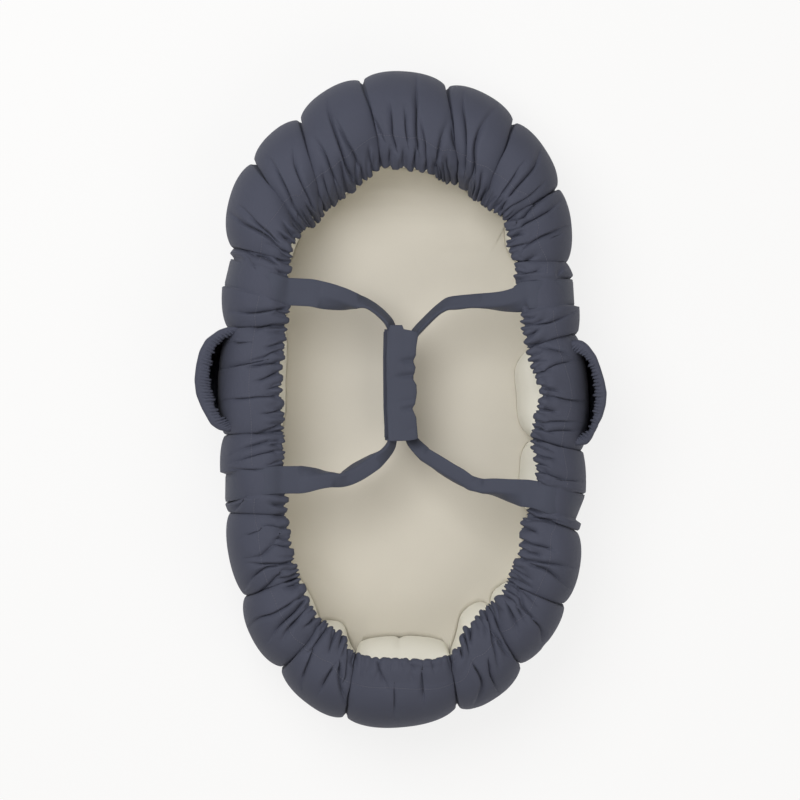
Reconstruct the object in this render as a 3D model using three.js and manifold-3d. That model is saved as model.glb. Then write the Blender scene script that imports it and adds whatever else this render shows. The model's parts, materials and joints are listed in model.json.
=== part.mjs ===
// Infant lounger: a stuffed oval bumper of twenty lobes in a gathered slate cover, with a cream
// mattress, two side pockets and two carrying straps that meet in a wrapped grip.
// Millimetres, +Z up, +Y towards the head end, +X to the right seen from above.
// The origin is at the middle of the footprint, on the surface that the lounger stands on.
import * as THREE from 'three';
import { mergeVertices } from 'three/addons/utils/BufferGeometryUtils.js';
import Module from 'manifold-3d';

// Overall sizes
const bodyWidth = 457; // over the stuffed lobes, without the pockets
const bodyLength = 822;
const wallHeight = 160; // crest of the bumper at a sewn channel
const bumperThickness = 108; // where it is thickest, at the head

// Clearances
const touchGap = 0.3; // between pieces that touch
const coverEase = 0.5; // between the stuffed lobes and the cover
const elasticEase = 0.5; // more room over the elastic where the rim bends between lobes
const strapEase = 0.8; // between the cover and a strap that lies on it
const mattressEase = 1.5; // between the lobes and the mattress edge

// Cloth and sheet thicknesses
const coverCloth = 2;
const baseCloth = 2;
const boardThickness = 3;
const floorCloth = 1.5;
const boardEase = 4; // between the cover's foot and the board
const tickingCloth = 1.2; // the mattress cover's cloth

// How far a lobe stands out of its sewn channels
const innerSwell = 8;
const crownSwell = 8;

// The sewn channels, clockwise from the right of the head: x and y as shares of half the width and
// half the length, how far the next lobe swells as a share of its chord, the thickness there as a
// share of the bumper's, and how far in the rim lies as a share of that thickness.
const channelShares = [
  [0.240, 0.947, 0.18, 0.990, 1.010], [0.607, 0.841, 0.17, 0.944, 0.990],
  [0.837, 0.643, 0.16, 0.778, 0.950], [0.881, 0.415, 0.13, 0.583, 0.925],
  [0.935, 0.193, 0.10, 0.593, 0.940], [0.968, -0.151, 0.09, 0.639, 0.840],
  [0.946, -0.406, 0.15, 0.639, 0.945], [0.875, -0.616, 0.15, 0.667, 0.960],
  [0.640, -0.798, 0.22, 0.741, 0.945], [0.295, -0.929, 0.16, 0.815, 0.780],
  [-0.306, -0.960, 0.19, 0.815, 0.880], [-0.651, -0.807, 0.20, 0.741, 0.960],
  [-0.842, -0.595, 0.13, 0.657, 0.955], [-0.930, -0.345, 0.11, 0.639, 0.940],
  [-0.957, -0.108, 0.10, 0.648, 0.980], [-0.935, 0.214, 0.14, 0.648, 0.945],
  [-0.908, 0.458, 0.20, 0.657, 0.930], [-0.804, 0.719, 0.19, 0.880, 1.000],
  [-0.553, 0.847, 0.18, 0.944, 1.000], [-0.219, 0.966, 0.17, 1.000, 1.010],
];
const rightPocketLobe = 4;
const footLobe = 9;
const leftPocketLobe = 14;
const lobeCount = channelShares.length;

// Shape of a lobe along its length and of the bumper's section
const stationShares = [0, 0.08, 0.3, 0.5, 0.7, 0.92];
const fullnessPower = 2.2;
const fullnessRoot = 0.8;
const sectionPower = 2.3;
const lowerReachShare = 1.12; // the lower half reaches below the floor cloth and is cut flat there

// Rows round the section, in degrees from the outer side over the crest to the inner side
const footRowAngle = -70;
const wallRowAngles = [-40, -10, 20, 50, 75, 95];
const innerRowShares = [0.45, 0.8];
const lastRowAngle = 250;

// Rim casing and its elastic
const rimRadius = 5;
const casingCloth = 1.2;
const rimElasticWidth = 2.6;
const rimElasticThickness = 1;
const hemAngles = [-115, -40, 40, 115]; // corners of a folded hem's section

// Mattress
const mattressHeight = 42;
const mattressCrown = 7;
const mattressRows = 60;
const tickingSlit = 180; // opening of the mattress cover at the foot end
const coreEase = 0.4;

// Pockets
const pocketDepth = 26;
const pocketCloth = 1.6;
const pocketRowAngles = [-40, -25, -10, 20, 40];
const pocketStationShares = [0.02, 0.08, 0.3, 0.5, 0.7, 0.92, 0.98];
const pocketHemRadius = 6;
const pocketElasticWidth = 4;
const pocketElasticThickness = 2;

// Straps
const strapWidth = 35;
const strapThickness = 2;
const foldedWidth = 17.5;
const foldedThickness = 4.4;
const creaseLength = 22; // over this length a strap goes from flat to folded
const handleDroop = 18; // degrees below level at rest
// Each leg: the lobe it lies on, its place along the lobe, and its crease as shares of the half sizes.
const leftLegs = [
  { lobe: 15, alongShare: 0.57, creaseShares: [-0.202, 0.303] },
  { lobe: 13, alongShare: 0.47, creaseShares: [-0.311, -0.244] },
];
const rightLegs = [
  { lobe: 3, alongShare: 0.36, creaseShares: [0.252, 0.311] },
  { lobe: 5, alongShare: 0.6, creaseShares: [0.346, -0.238] },
];

// Grip
const gripLength = 146;
const gripWidth = 43.5;
const gripCentreShares = [-0.009, 0.049];
const gripWall = 2.5;
const gripLedge = 17; // how far the wrap turns in under the flap
const runSpacing = 18; // between the two straps inside the grip, sideways
const runDrop = 11; // and the height between them
const runRoom = 6; // room above and below a strap's centre inside the grip
const runLead = 7; // a strap is straight this far before it enters the grip
const stripThickness = 1;
const stripWidth = 13;
const stripMargin = 6;

// Heights that follow from the sizes above
const boardFoot = baseCloth + touchGap;
const floorClothFoot = boardFoot + boardThickness + touchGap;
const bumperFoot = floorClothFoot + floorCloth + touchGap;
const coverFoot = baseCloth + touchGap;
const sectionHalfHeight = (wallHeight - bumperFoot) / 2;
const sectionCentre = bumperFoot + sectionHalfHeight;
const coverOuter = coverEase + coverCloth;
const strapInner = coverOuter + strapEase;
const pocketInner = coverOuter + touchGap;

const cloth = (r, g, b) => new THREE.MeshStandardMaterial({
  color: new THREE.Color(r, g, b), roughness: 0.9, metalness: 0,
});
const slate = cloth(0.085, 0.093, 0.125);
const strapSlate = cloth(0.08, 0.088, 0.115);
const cream = cloth(0.66, 0.63, 0.54);
const wadding = cloth(0.8, 0.8, 0.78);
const elastic = cloth(0.5, 0.5, 0.5);
const board = cloth(0.35, 0.3, 0.24);
const fastener = cloth(0.05, 0.055, 0.08);

const group = new THREE.Group();
const addPiece = (name, geometry, material) => {
  const mesh = new THREE.Mesh(geometry, material);
  mesh.name = name;
  group.add(mesh);
};

const upwards = new THREE.Vector3(0, 0, 1);
const radians = THREE.MathUtils.degToRad;
const lerp = THREE.MathUtils.lerp;
const signedPower = (value, power) => Math.sign(value) * Math.abs(value) ** power;

// Volume enclosed by indexed triangles, negative where they face inwards.
function signedVolume(points, faces) {
  let volume = 0;
  for (const [a, b, c] of faces) {
    volume += points[a].dot(points[b].clone().cross(points[c]));
  }
  return volume;
}

function solid(points, faces) {
  const outward = signedVolume(points, faces) > 0;
  const geometry = new THREE.BufferGeometry();
  geometry.setAttribute('position', new THREE.Float32BufferAttribute(points.flatMap((p) => p.toArray()), 3));
  geometry.setIndex(faces.flatMap(([a, b, c]) => (outward ? [a, b, c] : [a, c, b])));
  geometry.computeVertexNormals();
  return geometry;
}

// A closed body from rings of points. The ends are closed straight across, or the last ring meets
// the first. A ring's first and last points are neighbours, so a bent strip closes too.
function loft(rings, closed = false) {
  const size = rings[0].length;
  const points = rings.flat();
  const faces = [];
  const steps = closed ? rings.length : rings.length - 1;
  for (let r = 0; r < steps; r += 1) {
    const here = r * size;
    const next = ((r + 1) % rings.length) * size;
    for (let j = 0; j < size; j += 1) {
      const k = (j + 1) % size;
      faces.push([here + j, next + k, next + j], [here + j, here + k, next + k]);
    }
  }
  const closeEnd = (start, flip) => {
    for (let j = 0, k = size - 1; k - j > 1; j += 1, k -= 1) {
      const near = [start + j, start + j + 1, start + k];
      const far = [start + j + 1, start + k - 1, start + k];
      for (const face of k - j > 2 ? [near, far] : [near]) {
        faces.push(flip ? face.slice().reverse() : face);
      }
    }
  };
  if (!closed) {
    closeEnd(0, true);
    closeEnd((rings.length - 1) * size, false);
  }
  return solid(points, faces);
}

// A closed shell between an outer and an inner grid of points, with the same split on both sides.
function shell(outer, inner, closed = false) {
  const rows = outer[0].length;
  const columns = outer.length;
  const points = [...outer.flat(), ...inner.flat()];
  const innerStart = rows * columns;
  const faces = [];
  const quad = (a, b, c, d) => faces.push([a, b, c], [a, c, d]);
  const steps = closed ? columns : columns - 1;
  for (let i = 0; i < steps; i += 1) {
    const here = i * rows;
    const next = ((i + 1) % columns) * rows;
    for (let j = 0; j < rows - 1; j += 1) {
      quad(here + j, here + j + 1, next + j + 1, next + j);
      faces.push([innerStart + here + j, innerStart + next + j + 1, innerStart + here + j + 1]);
      faces.push([innerStart + here + j, innerStart + next + j, innerStart + next + j + 1]);
    }
    quad(here, next, innerStart + next, innerStart + here);
    const top = rows - 1;
    quad(next + top, here + top, innerStart + here + top, innerStart + next + top);
  }
  if (!closed) {
    const last = (columns - 1) * rows;
    for (let j = 0; j < rows - 1; j += 1) {
      quad(j + 1, j, innerStart + j, innerStart + j + 1);
      quad(last + j, last + j + 1, innerStart + last + j + 1, innerStart + last + j);
    }
  }
  return solid(points, faces);
}

const wasm = await Module();
wasm.setup();

function toManifold(geometry) {
  const bare = geometry.clone();
  bare.deleteAttribute('normal');
  bare.deleteAttribute('uv');
  const merged = mergeVertices(bare);
  return new wasm.Manifold(new wasm.Mesh({
    numProp: 3,
    vertProperties: new Float32Array(merged.attributes.position.array),
    triVerts: new Uint32Array(merged.index.array),
  }));
}

function fromManifold(body) {
  const mesh = body.getMesh();
  const geometry = new THREE.BufferGeometry();
  geometry.setAttribute('position', new THREE.BufferAttribute(new Float32Array(mesh.vertProperties), 3));
  geometry.setIndex(new THREE.BufferAttribute(new Uint32Array(mesh.triVerts), 1));
  geometry.computeVertexNormals();
  return geometry;
}

// The ring that every soft piece follows
const halfWidth = bodyWidth / 2 - coverOuter;
const halfLength = bodyLength / 2 - coverOuter;
const wrap = (k) => (k + lobeCount) % lobeCount;
const channelPlace = (k) => {
  const [xShare, yShare] = channelShares[wrap(k)];
  return new THREE.Vector2(xShare * halfWidth, yShare * halfLength);
};
const inwardAt = (k) => {
  const along = channelPlace(k + 1).sub(channelPlace(k - 1)).normalize();
  return new THREE.Vector2(along.y, -along.x);
};
const thicknessAt = (k) => channelShares[wrap(k)][3] * bumperThickness;
const chordOf = (lobe) => channelPlace(lobe).distanceTo(channelPlace(lobe + 1));

// How full a lobe is, from 1 in its middle to 0 at the channels, where fromMiddle is -1 and 1
const fullnessAt = (fromMiddle) => {
  const hollow = Math.min(Math.abs(fromMiddle), 1) ** fullnessPower;
  return (1 - hollow) ** fullnessRoot;
};

// What the bumper measures at a share of the way along a lobe
function stationOf(lobe, share) {
  const fullness = fullnessAt(2 * share - 1);
  return {
    base: channelPlace(lobe).lerp(channelPlace(lobe + 1), share),
    inward: inwardAt(lobe).lerp(inwardAt(lobe + 1), share).normalize(),
    halfThickness: lerp(thicknessAt(lobe), thicknessAt(lobe + 1), share) / 2,
    outSwell: channelShares[wrap(lobe)][2] * chordOf(lobe) * fullness,
    inSwell: innerSwell * fullness,
    crown: crownSwell * fullness,
    rimShare: lerp(channelShares[wrap(lobe)][4], channelShares[wrap(lobe + 1)][4], share),
  };
}

const pointIn = (station, inset, height) => new THREE.Vector3(
  station.base.x + station.inward.x * inset,
  station.base.y + station.inward.y * inset,
  height,
);

// A point of the section, grown outwards by an offset, as its inset from the channel and its height
function sectionPlace(station, angle, offset) {
  const across = signedPower(Math.cos(radians(angle)), 2 / sectionPower);
  const upward = signedPower(Math.sin(radians(angle)), 2 / sectionPower);
  const reach = station.halfThickness + offset + (across > 0 ? station.outSwell : station.inSwell);
  const rise = upward > 0
    ? sectionHalfHeight + station.crown + offset
    : sectionHalfHeight * lowerReachShare + offset;
  return {
    inset: station.halfThickness - across * reach,
    height: Math.max(sectionCentre + upward * rise, bumperFoot),
  };
}

function sectionPoint(station, angle, offset) {
  const place = sectionPlace(station, angle, offset);
  return pointIn(station, place.inset, place.height);
}

// The angle on the inner shoulder where the cover ends and the rim casing starts
function rimAngle(station) {
  const inset = station.rimShare * 2 * station.halfThickness - rimRadius;
  const reach = station.halfThickness + station.inSwell;
  const across = (inset - station.halfThickness) / reach;
  return 180 - THREE.MathUtils.radToDeg(Math.acos(across ** (sectionPower / 2)));
}

const coverRowsOf = (station) => {
  const topAngle = wallRowAngles.at(-1);
  const endAngle = rimAngle(station);
  return [footRowAngle, ...wallRowAngles, lerp(topAngle, endAngle, 0.5), endAngle];
};
const bumperRowsOf = (station) => {
  const endAngle = rimAngle(station);
  const innerRows = innerRowShares.map((share) => lerp(endAngle, lastRowAngle, share));
  return [...coverRowsOf(station), ...innerRows, lastRowAngle];
};

// The stations of a run of lobes, with a gap at each of its ends
function stationsOf(firstLobe, count) {
  const stations = [];
  for (let n = 0; n < count; n += 1) {
    const lobe = wrap(firstLobe + n);
    for (const share of stationShares) {
      const startGap = n === 0 && share === 0 ? touchGap / 2 / chordOf(lobe) : 0;
      stations.push(stationOf(lobe, share + startGap));
    }
  }
  const last = wrap(firstLobe + count - 1);
  stations.push(stationOf(last, 1 - touchGap / 2 / chordOf(last)));
  return stations;
}

// Stuffed channels of the bumper
function bumperChannel(lobe) {
  const rings = stationsOf(lobe, 1).map((station) => bumperRowsOf(station)
    .map((angle) => sectionPoint(station, angle, 0)));
  return loft(rings);
}

// Outer cover: a panel over some lobes, from the base seam to the rim casing
function coverSide(station, offset) {
  const column = coverRowsOf(station).map((angle) => sectionPoint(station, angle, offset));
  column[0].z = coverFoot;
  return column;
}

function coverPanel(firstLobe, count) {
  const stations = stationsOf(firstLobe, count);
  return shell(
    stations.map((station) => coverSide(station, coverOuter)),
    stations.map((station) => coverSide(station, coverEase)),
  );
}

// The stations all the way round
const ringStations = () => {
  const stations = [];
  for (let lobe = 0; lobe < lobeCount; lobe += 1) {
    for (const share of stationShares) {
      stations.push(stationOf(lobe, share));
    }
  }
  return stations;
};

// How far the ends of a folded hem's cloth lie below its centre and beside it
const hemDrop = (radius) => -radius * Math.cos(radians(hemAngles[0]));
const hemSpread = (radius) => -radius * Math.sin(radians(hemAngles[0]));

// Centre of the rim casing, whose cloth ends meet the cover's edge, and the direction that points
// away from the bumper there
function rimPlace(station) {
  const angle = rimAngle(station);
  const onBumper = sectionPlace(station, angle, 0);
  const beyond = sectionPlace(station, angle + 1, 0);
  const along = new THREE.Vector2(beyond.inset - onBumper.inset, beyond.height - onBumper.height).normalize();
  const away = new THREE.Vector2(-along.y, along.x);
  const centre = new THREE.Vector2(onBumper.inset, onBumper.height)
    .addScaledVector(along, hemSpread(rimRadius) + touchGap)
    .addScaledVector(away, hemDrop(rimRadius) + coverEase + coverCloth / 2);
  return { centre, away, along };
}

function rimSection(station, corners) {
  const { centre, away, along } = rimPlace(station);
  return corners.map(([sideways, outward]) => {
    const place = centre.clone().addScaledVector(along, sideways).addScaledVector(away, outward);
    return pointIn(station, place.x, place.y);
  });
}

// Corners of a folded hem, open towards what it lies on
function hemCorners(radius, clothThickness) {
  const corner = (angle, reach) => [reach * Math.sin(radians(angle)), reach * Math.cos(radians(angle))];
  const outer = hemAngles.map((angle) => corner(angle, radius));
  const inner = hemAngles.map((angle) => corner(angle, radius - clothThickness)).reverse();
  return [...outer, ...inner];
}

const bandCorners = (width, thickness, roof) => [
  [-width / 2, roof - touchGap - thickness], [width / 2, roof - touchGap - thickness],
  [width / 2, roof - touchGap], [-width / 2, roof - touchGap],
];

function rimCasing() {
  const corners = hemCorners(rimRadius, casingCloth);
  return loft(ringStations().map((station) => rimSection(station, corners)), true);
}

function rimElastic() {
  const roof = hemRoof(rimRadius, casingCloth) - elasticEase;
  const corners = bandCorners(rimElasticWidth, rimElasticThickness, roof);
  return loft(ringStations().map((station) => rimSection(station, corners)), true);
}

// A flat sheet between two heights, whose outline keeps an inset from the channels
function outlineOf(insetAt, samples) {
  const places = [];
  for (let lobe = 0; lobe < lobeCount; lobe += 1) {
    places.push(pointIn(stationOf(lobe, 0), insetAt(stationOf(lobe, 0)), 0));
  }
  return new THREE.CatmullRomCurve3(places, true).getPoints(samples).slice(0, samples);
}

function flatSheet(insetAt, foot, thickness) {
  const outline = outlineOf(insetAt, mattressRows);
  const shape = new THREE.Shape(outline.map((p) => new THREE.Vector2(p.x, p.y)));
  const geometry = new THREE.ExtrudeGeometry(shape, { depth: thickness, bevelEnabled: false });
  return geometry.translate(0, 0, foot);
}

// The base cloth reaches just under the foot of the cover, lobes and all
function baseSheet() {
  const outline = ringStations().map((station) => {
    const edge = sectionPlace(station, footRowAngle, coverOuter);
    const place = pointIn(station, edge.inset, 0);
    return new THREE.Vector2(place.x, place.y);
  });
  return new THREE.ExtrudeGeometry(new THREE.Shape(outline), { depth: baseCloth, bevelEnabled: false });
}

const insideCover = (station) => sectionPlace(station, footRowAngle, coverEase).inset + boardEase;

// Mattress: rows from the flat underside over the drawn-in edge to the crown
const mattressShareRows = [
  { inShare: 0.06, upShare: 0 },
  { inShare: 0, upShare: 0.3 },
  { inShare: 0, upShare: 0.68 },
  { inShare: 0.05, upShare: 1 },
  { inShare: 0.45, upShare: 1, crownShare: 0.8 },
  { inShare: 0.8, upShare: 1, crownShare: 1 },
];

function mattressBody(inset) {
  const outline = outlineOf(
    (station) => 2 * station.halfThickness + innerSwell + mattressEase + inset,
    mattressRows,
  );
  const middle = outline.reduce((sum, p) => sum.add(p), new THREE.Vector3()).divideScalar(outline.length);
  const foot = bumperFoot + inset;
  const height = mattressHeight - 2 * inset;
  return loft(mattressShareRows.map(({ inShare, upShare, crownShare = 0 }) => outline.map((p) => {
    const place = p.clone().lerp(middle, inShare);
    place.z = foot + upShare * height + crownShare * mattressCrown;
    return place;
  })));
}

function mattressCover() {
  const slit = new THREE.BoxGeometry(tickingSlit, bodyLength, tickingCloth);
  slit.translate(0, -bodyLength / 2, bumperFoot + mattressHeight / 2);
  const hollow = toManifold(mattressBody(tickingCloth));
  return fromManifold(toManifold(mattressBody(0)).subtract(hollow).subtract(toManifold(slit)));
}

// Side pocket: a pouch sewn to the cover at its sides and bottom
function pocketPoint(lobe, share, angle, offset) {
  const station = stationOf(lobe, share);
  const fromMiddle = (share - 0.5) / (pocketStationShares.at(-1) - 0.5);
  const climb = (angle - pocketRowAngles[0]) / (pocketRowAngles.at(-1) - pocketRowAngles[0]);
  const bulge = pocketDepth * fullnessAt(fromMiddle) * Math.sqrt(climb);
  const place = sectionPlace(station, angle, pocketInner);
  return pointIn(station, place.inset - bulge - offset, place.height);
}

function pocketPouch(lobe) {
  const gridAt = (offset) => pocketStationShares
    .map((share) => pocketRowAngles.map((angle) => pocketPoint(lobe, share, angle, offset)));
  return shell(gridAt(pocketCloth), gridAt(0));
}

// How high a folded hem's fold is inside
const hemRoof = (radius, clothThickness) => (radius - clothThickness) * Math.cos(radians(hemAngles[1]));

// Swept along the top of a pocket, with its corners sideways and upwards from the hem's centre
function alongPocketTop(lobe, corners) {
  const topAngle = pocketRowAngles.at(-1);
  return loft(pocketStationShares.map((share) => {
    const station = stationOf(lobe, share);
    const centre = pocketPoint(lobe, share, topAngle, pocketHemRadius);
    centre.z += hemDrop(pocketHemRadius) + touchGap;
    return corners.map(([sideways, upward]) => new THREE.Vector3(
      centre.x - station.inward.x * sideways,
      centre.y - station.inward.y * sideways,
      centre.z + upward,
    ));
  }));
}

// Where a strap crosses the rim casing, and the line over the casing where both its legs lift
function rimTopAt(leg) {
  const station = stationOf(leg.lobe, leg.alongShare);
  const { centre } = rimPlace(station);
  return pointIn(station, centre.x, centre.y + rimRadius);
}

const liftLine = (legs, side) => side * Math.min(...legs.map((leg) => Math.abs(rimTopAt(leg).x)));
const highestRim = Math.max(...[...leftLegs, ...rightLegs].map((leg) => rimTopAt(leg).z));
const strapTop = highestRim + strapEase + strapThickness;

// Strap tail: from the base seam up the outer wall and over the crest to the lifting line
function strapTail(leg, side, liftX) {
  const halfShare = strapWidth / 2 / chordOf(leg.lobe);
  const shares = [leg.alongShare - halfShare, leg.alongShare, leg.alongShare + halfShare];
  const columnAt = (share, offset, top) => {
    const station = stationOf(leg.lobe, share);
    const rows = coverRowsOf(station).slice(0, -1);
    const column = rows.map((angle) => sectionPoint(station, angle, offset));
    column[0].z = coverFoot;
    const crossing = rimTopAt(leg);
    const acrossStrap = (share - leg.alongShare) / halfShare * strapWidth / 2;
    const end = new THREE.Vector3(liftX + side * touchGap / 2, crossing.y - side * acrossStrap, top);
    return [...column, end];
  };
  return shell(
    shares.map((share) => columnAt(share, strapInner + strapThickness, strapTop)),
    shares.map((share) => columnAt(share, strapInner, strapTop - strapThickness)),
  );
}

// Grip and the two straps inside it
const gripX = gripCentreShares[0] * halfWidth;
const gripY = gripCentreShares[1] * halfLength;
const leftLiftX = liftLine(leftLegs, -1);
const rightLiftX = liftLine(rightLegs, 1);
const leftRunX = gripX - runSpacing / 2;
const rightRunX = gripX + runSpacing / 2;
const meanReach = (rightLiftX - leftLiftX - runSpacing) / 2;
const gripZ = strapTop - meanReach * Math.tan(radians(handleDroop));
const leftRunZ = gripZ + runDrop / 2;
const rightRunZ = gripZ - runDrop / 2;

// A carrying strap: flat from the lifting line to its crease, folded lengthwise through the grip
function carryingStrap(legs, side, liftX, runX, runZ) {
  const liftZ = strapTop - strapThickness / 2;
  const slope = (liftZ - runZ) / Math.abs(runX - liftX);
  const places = [];
  const [upper, lower] = legs;
  for (const [leg, end] of [[upper, 1], [lower, -1]]) {
    const crossing = rimTopAt(leg);
    const crease = new THREE.Vector2(leg.creaseShares[0] * halfWidth, leg.creaseShares[1] * halfLength);
    const lift = new THREE.Vector2(liftX, crossing.y);
    const entry = new THREE.Vector2(runX, gripY + end * (gripLength / 2 + runLead));
    const before = crease.clone().add(lift.clone().sub(crease).setLength(creaseLength / 2));
    const after = crease.clone().add(entry.clone().sub(crease).setLength(creaseLength / 2));
    const row = [
      { place: lift, width: strapWidth, thickness: strapThickness, upright: true },
      { place: before, width: strapWidth, thickness: strapThickness },
      { place: after, width: foldedWidth, thickness: foldedThickness },
      { place: entry, width: foldedWidth, thickness: foldedThickness },
    ];
    places.push(...(end > 0 ? row : row.reverse()));
  }
  const normal = new THREE.Vector3(-side * slope, 0, 1).normalize();
  const rings = places.map(({ place, width, thickness, upright }, n) => {
    const before = (places[n - 1] ?? places[n]).place;
    const after = (places[n + 1] ?? places[n]).place;
    const into = place.clone().sub(before).normalize();
    const out = after.clone().sub(place).normalize();
    const along = into.clone().add(out).normalize();
    const bend = Math.max(along.dot(into.lengthSq() > 0 ? into : out), Math.cos(radians(45)));
    let sideways = new THREE.Vector2(-along.y, along.x).multiplyScalar(width / 2 / bend);
    if (upright) {
      sideways = new THREE.Vector2(0, Math.sign(sideways.y) * width / 2);
    }
    const startX = upright ? liftX - side * touchGap / 2 : place.x;
    const corner = (sign, rise) => {
      const x = startX + sign * sideways.x;
      const y = place.y + sign * sideways.y;
      const middle = new THREE.Vector3(x, y, upright ? liftZ : liftZ - slope * Math.abs(x - liftX));
      return middle.addScaledVector(upright ? upwards : normal, rise);
    };
    const half = thickness / 2;
    return [corner(1, half), corner(-1, half), corner(-1, -half), corner(1, -half)];
  });
  return loft(rings);
}

// Flat outline in x and z, pushed along y for the grip's length
function alongGrip(corners, length) {
  const shape = new THREE.Shape(corners.map(([x, z]) => new THREE.Vector2(x, z)));
  const geometry = new THREE.ExtrudeGeometry(shape, { depth: length, bevelEnabled: false });
  return geometry.rotateX(Math.PI / 2).translate(0, gripY + length / 2, 0);
}

const gripLeft = gripX - gripWidth / 2;
const gripRight = gripX + gripWidth / 2;
const gripFoot = rightRunZ - runRoom - gripWall;
const ledgeTop = leftRunZ + runRoom + gripWall;
const flapFoot = ledgeTop + touchGap + 2 * stripThickness + 2 * touchGap;
const rightWallTop = flapFoot - touchGap;

for (let lobe = 0; lobe < lobeCount; lobe += 1) {
  addPiece(`bumper_channel_${String(lobe + 1).padStart(2, '0')}`, bumperChannel(lobe), cream);
}

const headLobeCount = 5;
const firstHeadLobe = wrap(-Math.ceil(headLobeCount / 2));
const lastHeadLobe = wrap(firstHeadLobe + headLobeCount - 1);
addPiece('cover_head_panel', coverPanel(firstHeadLobe, headLobeCount), slate);
addPiece('cover_right_panel', coverPanel(lastHeadLobe + 1, footLobe - lastHeadLobe - 1), slate);
addPiece('cover_foot_panel', coverPanel(footLobe, 1), slate);
addPiece('cover_left_panel', coverPanel(footLobe + 1, firstHeadLobe - footLobe - 1), slate);
addPiece('cover_base', baseSheet(), slate);
addPiece('rim_casing', rimCasing(), slate);
addPiece('rim_elastic', rimElastic(), elastic);

addPiece('base_board', flatSheet(insideCover, boardFoot, boardThickness), board);
addPiece('insert_floor', flatSheet(insideCover, floorClothFoot, floorCloth), cream);
addPiece('mattress_cover', mattressCover(), cream);
addPiece('mattress_core', mattressBody(tickingCloth + coreEase), wadding);

for (const [side, lobe] of [['left', leftPocketLobe], ['right', rightPocketLobe]]) {
  addPiece(`${side}_pocket`, pocketPouch(lobe), slate);
  addPiece(`${side}_pocket_hem`, alongPocketTop(lobe, hemCorners(pocketHemRadius, pocketCloth)), slate);
  const roof = hemRoof(pocketHemRadius, pocketCloth);
  const band = bandCorners(pocketElasticThickness, pocketElasticWidth, roof);
  addPiece(`${side}_pocket_elastic`, alongPocketTop(lobe, band), elastic);
}

const legNames = ['upper', 'lower'];
leftLegs.forEach((leg, n) => {
  addPiece(`left_strap_tail_${legNames[n]}`, strapTail(leg, -1, leftLiftX), strapSlate);
});
rightLegs.forEach((leg, n) => {
  addPiece(`right_strap_tail_${legNames[n]}`, strapTail(leg, 1, rightLiftX), strapSlate);
});
addPiece('left_strap', carryingStrap(leftLegs, -1, leftLiftX, leftRunX, leftRunZ), strapSlate);
addPiece('right_strap', carryingStrap(rightLegs, 1, rightLiftX, rightRunX, rightRunZ), strapSlate);

addPiece('grip_wrap', alongGrip([
  [gripLeft + gripLedge, ledgeTop], [gripLeft, ledgeTop], [gripLeft, gripFoot],
  [gripRight, gripFoot], [gripRight, rightWallTop], [gripRight - gripWall, rightWallTop],
  [gripRight - gripWall, gripFoot + gripWall], [gripLeft + gripWall, gripFoot + gripWall],
  [gripLeft + gripWall, ledgeTop - gripWall], [gripLeft + gripLedge, ledgeTop - gripWall],
], gripLength), strapSlate);
addPiece('grip_flap', alongGrip([
  [gripLeft, flapFoot], [gripRight, flapFoot],
  [gripRight, flapFoot + gripWall], [gripLeft, flapFoot + gripWall],
], gripLength), strapSlate);
const stripLeft = gripLeft + (gripLedge - stripWidth) / 2;
const stripLength = gripLength - 2 * stripMargin;
const strip = (foot) => alongGrip([
  [stripLeft, foot], [stripLeft + stripWidth, foot],
  [stripLeft + stripWidth, foot + stripThickness], [stripLeft, foot + stripThickness],
], stripLength);
addPiece('grip_loop_strip', strip(ledgeTop + touchGap), fastener);
addPiece('grip_hook_strip', strip(flapFoot - touchGap - stripThickness), fastener);

// The origin moves to the middle of the footprint.
const extent = new THREE.Box3().setFromObject(group);
const centre = extent.getCenter(new THREE.Vector3());
group.position.set(-centre.x, -centre.y, -extent.min.z);

export default group;
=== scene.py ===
"""Looks of the infant lounger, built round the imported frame.

Metres, +Z up, +Y towards the head end, +X to the right seen from above. Places called pixels are
read off the photograph, which is 800 pixels wide and looks straight down. Grids of points have
their columns on the first axis and their rows on the second.
"""
import json
from types import SimpleNamespace

import bpy
import numpy as np
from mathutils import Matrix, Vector


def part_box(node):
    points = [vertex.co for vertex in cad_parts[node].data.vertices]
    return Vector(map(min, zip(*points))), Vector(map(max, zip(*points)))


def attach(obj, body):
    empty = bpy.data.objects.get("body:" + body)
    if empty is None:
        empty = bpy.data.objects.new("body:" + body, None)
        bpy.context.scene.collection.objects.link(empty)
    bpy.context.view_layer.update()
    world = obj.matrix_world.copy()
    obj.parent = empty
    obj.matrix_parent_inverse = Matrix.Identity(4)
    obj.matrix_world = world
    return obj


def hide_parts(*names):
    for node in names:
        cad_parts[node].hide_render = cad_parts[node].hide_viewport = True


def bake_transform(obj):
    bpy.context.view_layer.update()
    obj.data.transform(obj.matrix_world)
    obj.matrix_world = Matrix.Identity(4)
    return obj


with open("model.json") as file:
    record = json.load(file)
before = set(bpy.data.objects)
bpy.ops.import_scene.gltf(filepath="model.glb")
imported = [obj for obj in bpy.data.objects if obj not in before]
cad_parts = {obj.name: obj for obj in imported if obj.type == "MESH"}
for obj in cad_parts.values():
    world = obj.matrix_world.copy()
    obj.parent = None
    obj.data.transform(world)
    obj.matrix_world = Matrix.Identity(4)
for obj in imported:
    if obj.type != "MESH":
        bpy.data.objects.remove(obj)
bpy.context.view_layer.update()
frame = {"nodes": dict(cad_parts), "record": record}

MM = 0.001
DEGREE = np.pi / 180
PIXEL = 1.25 * MM
ORIGIN_PIXEL = (402.8, 399.3)  # the pixel over the frame's origin
CAMERA_PIXEL = (400, 400)
CAMERA_HEIGHT = 5.0
OUTLINE_HEIGHT = 0.09  # where a pixel is that long
RIM_HEIGHT = 0.145

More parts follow.
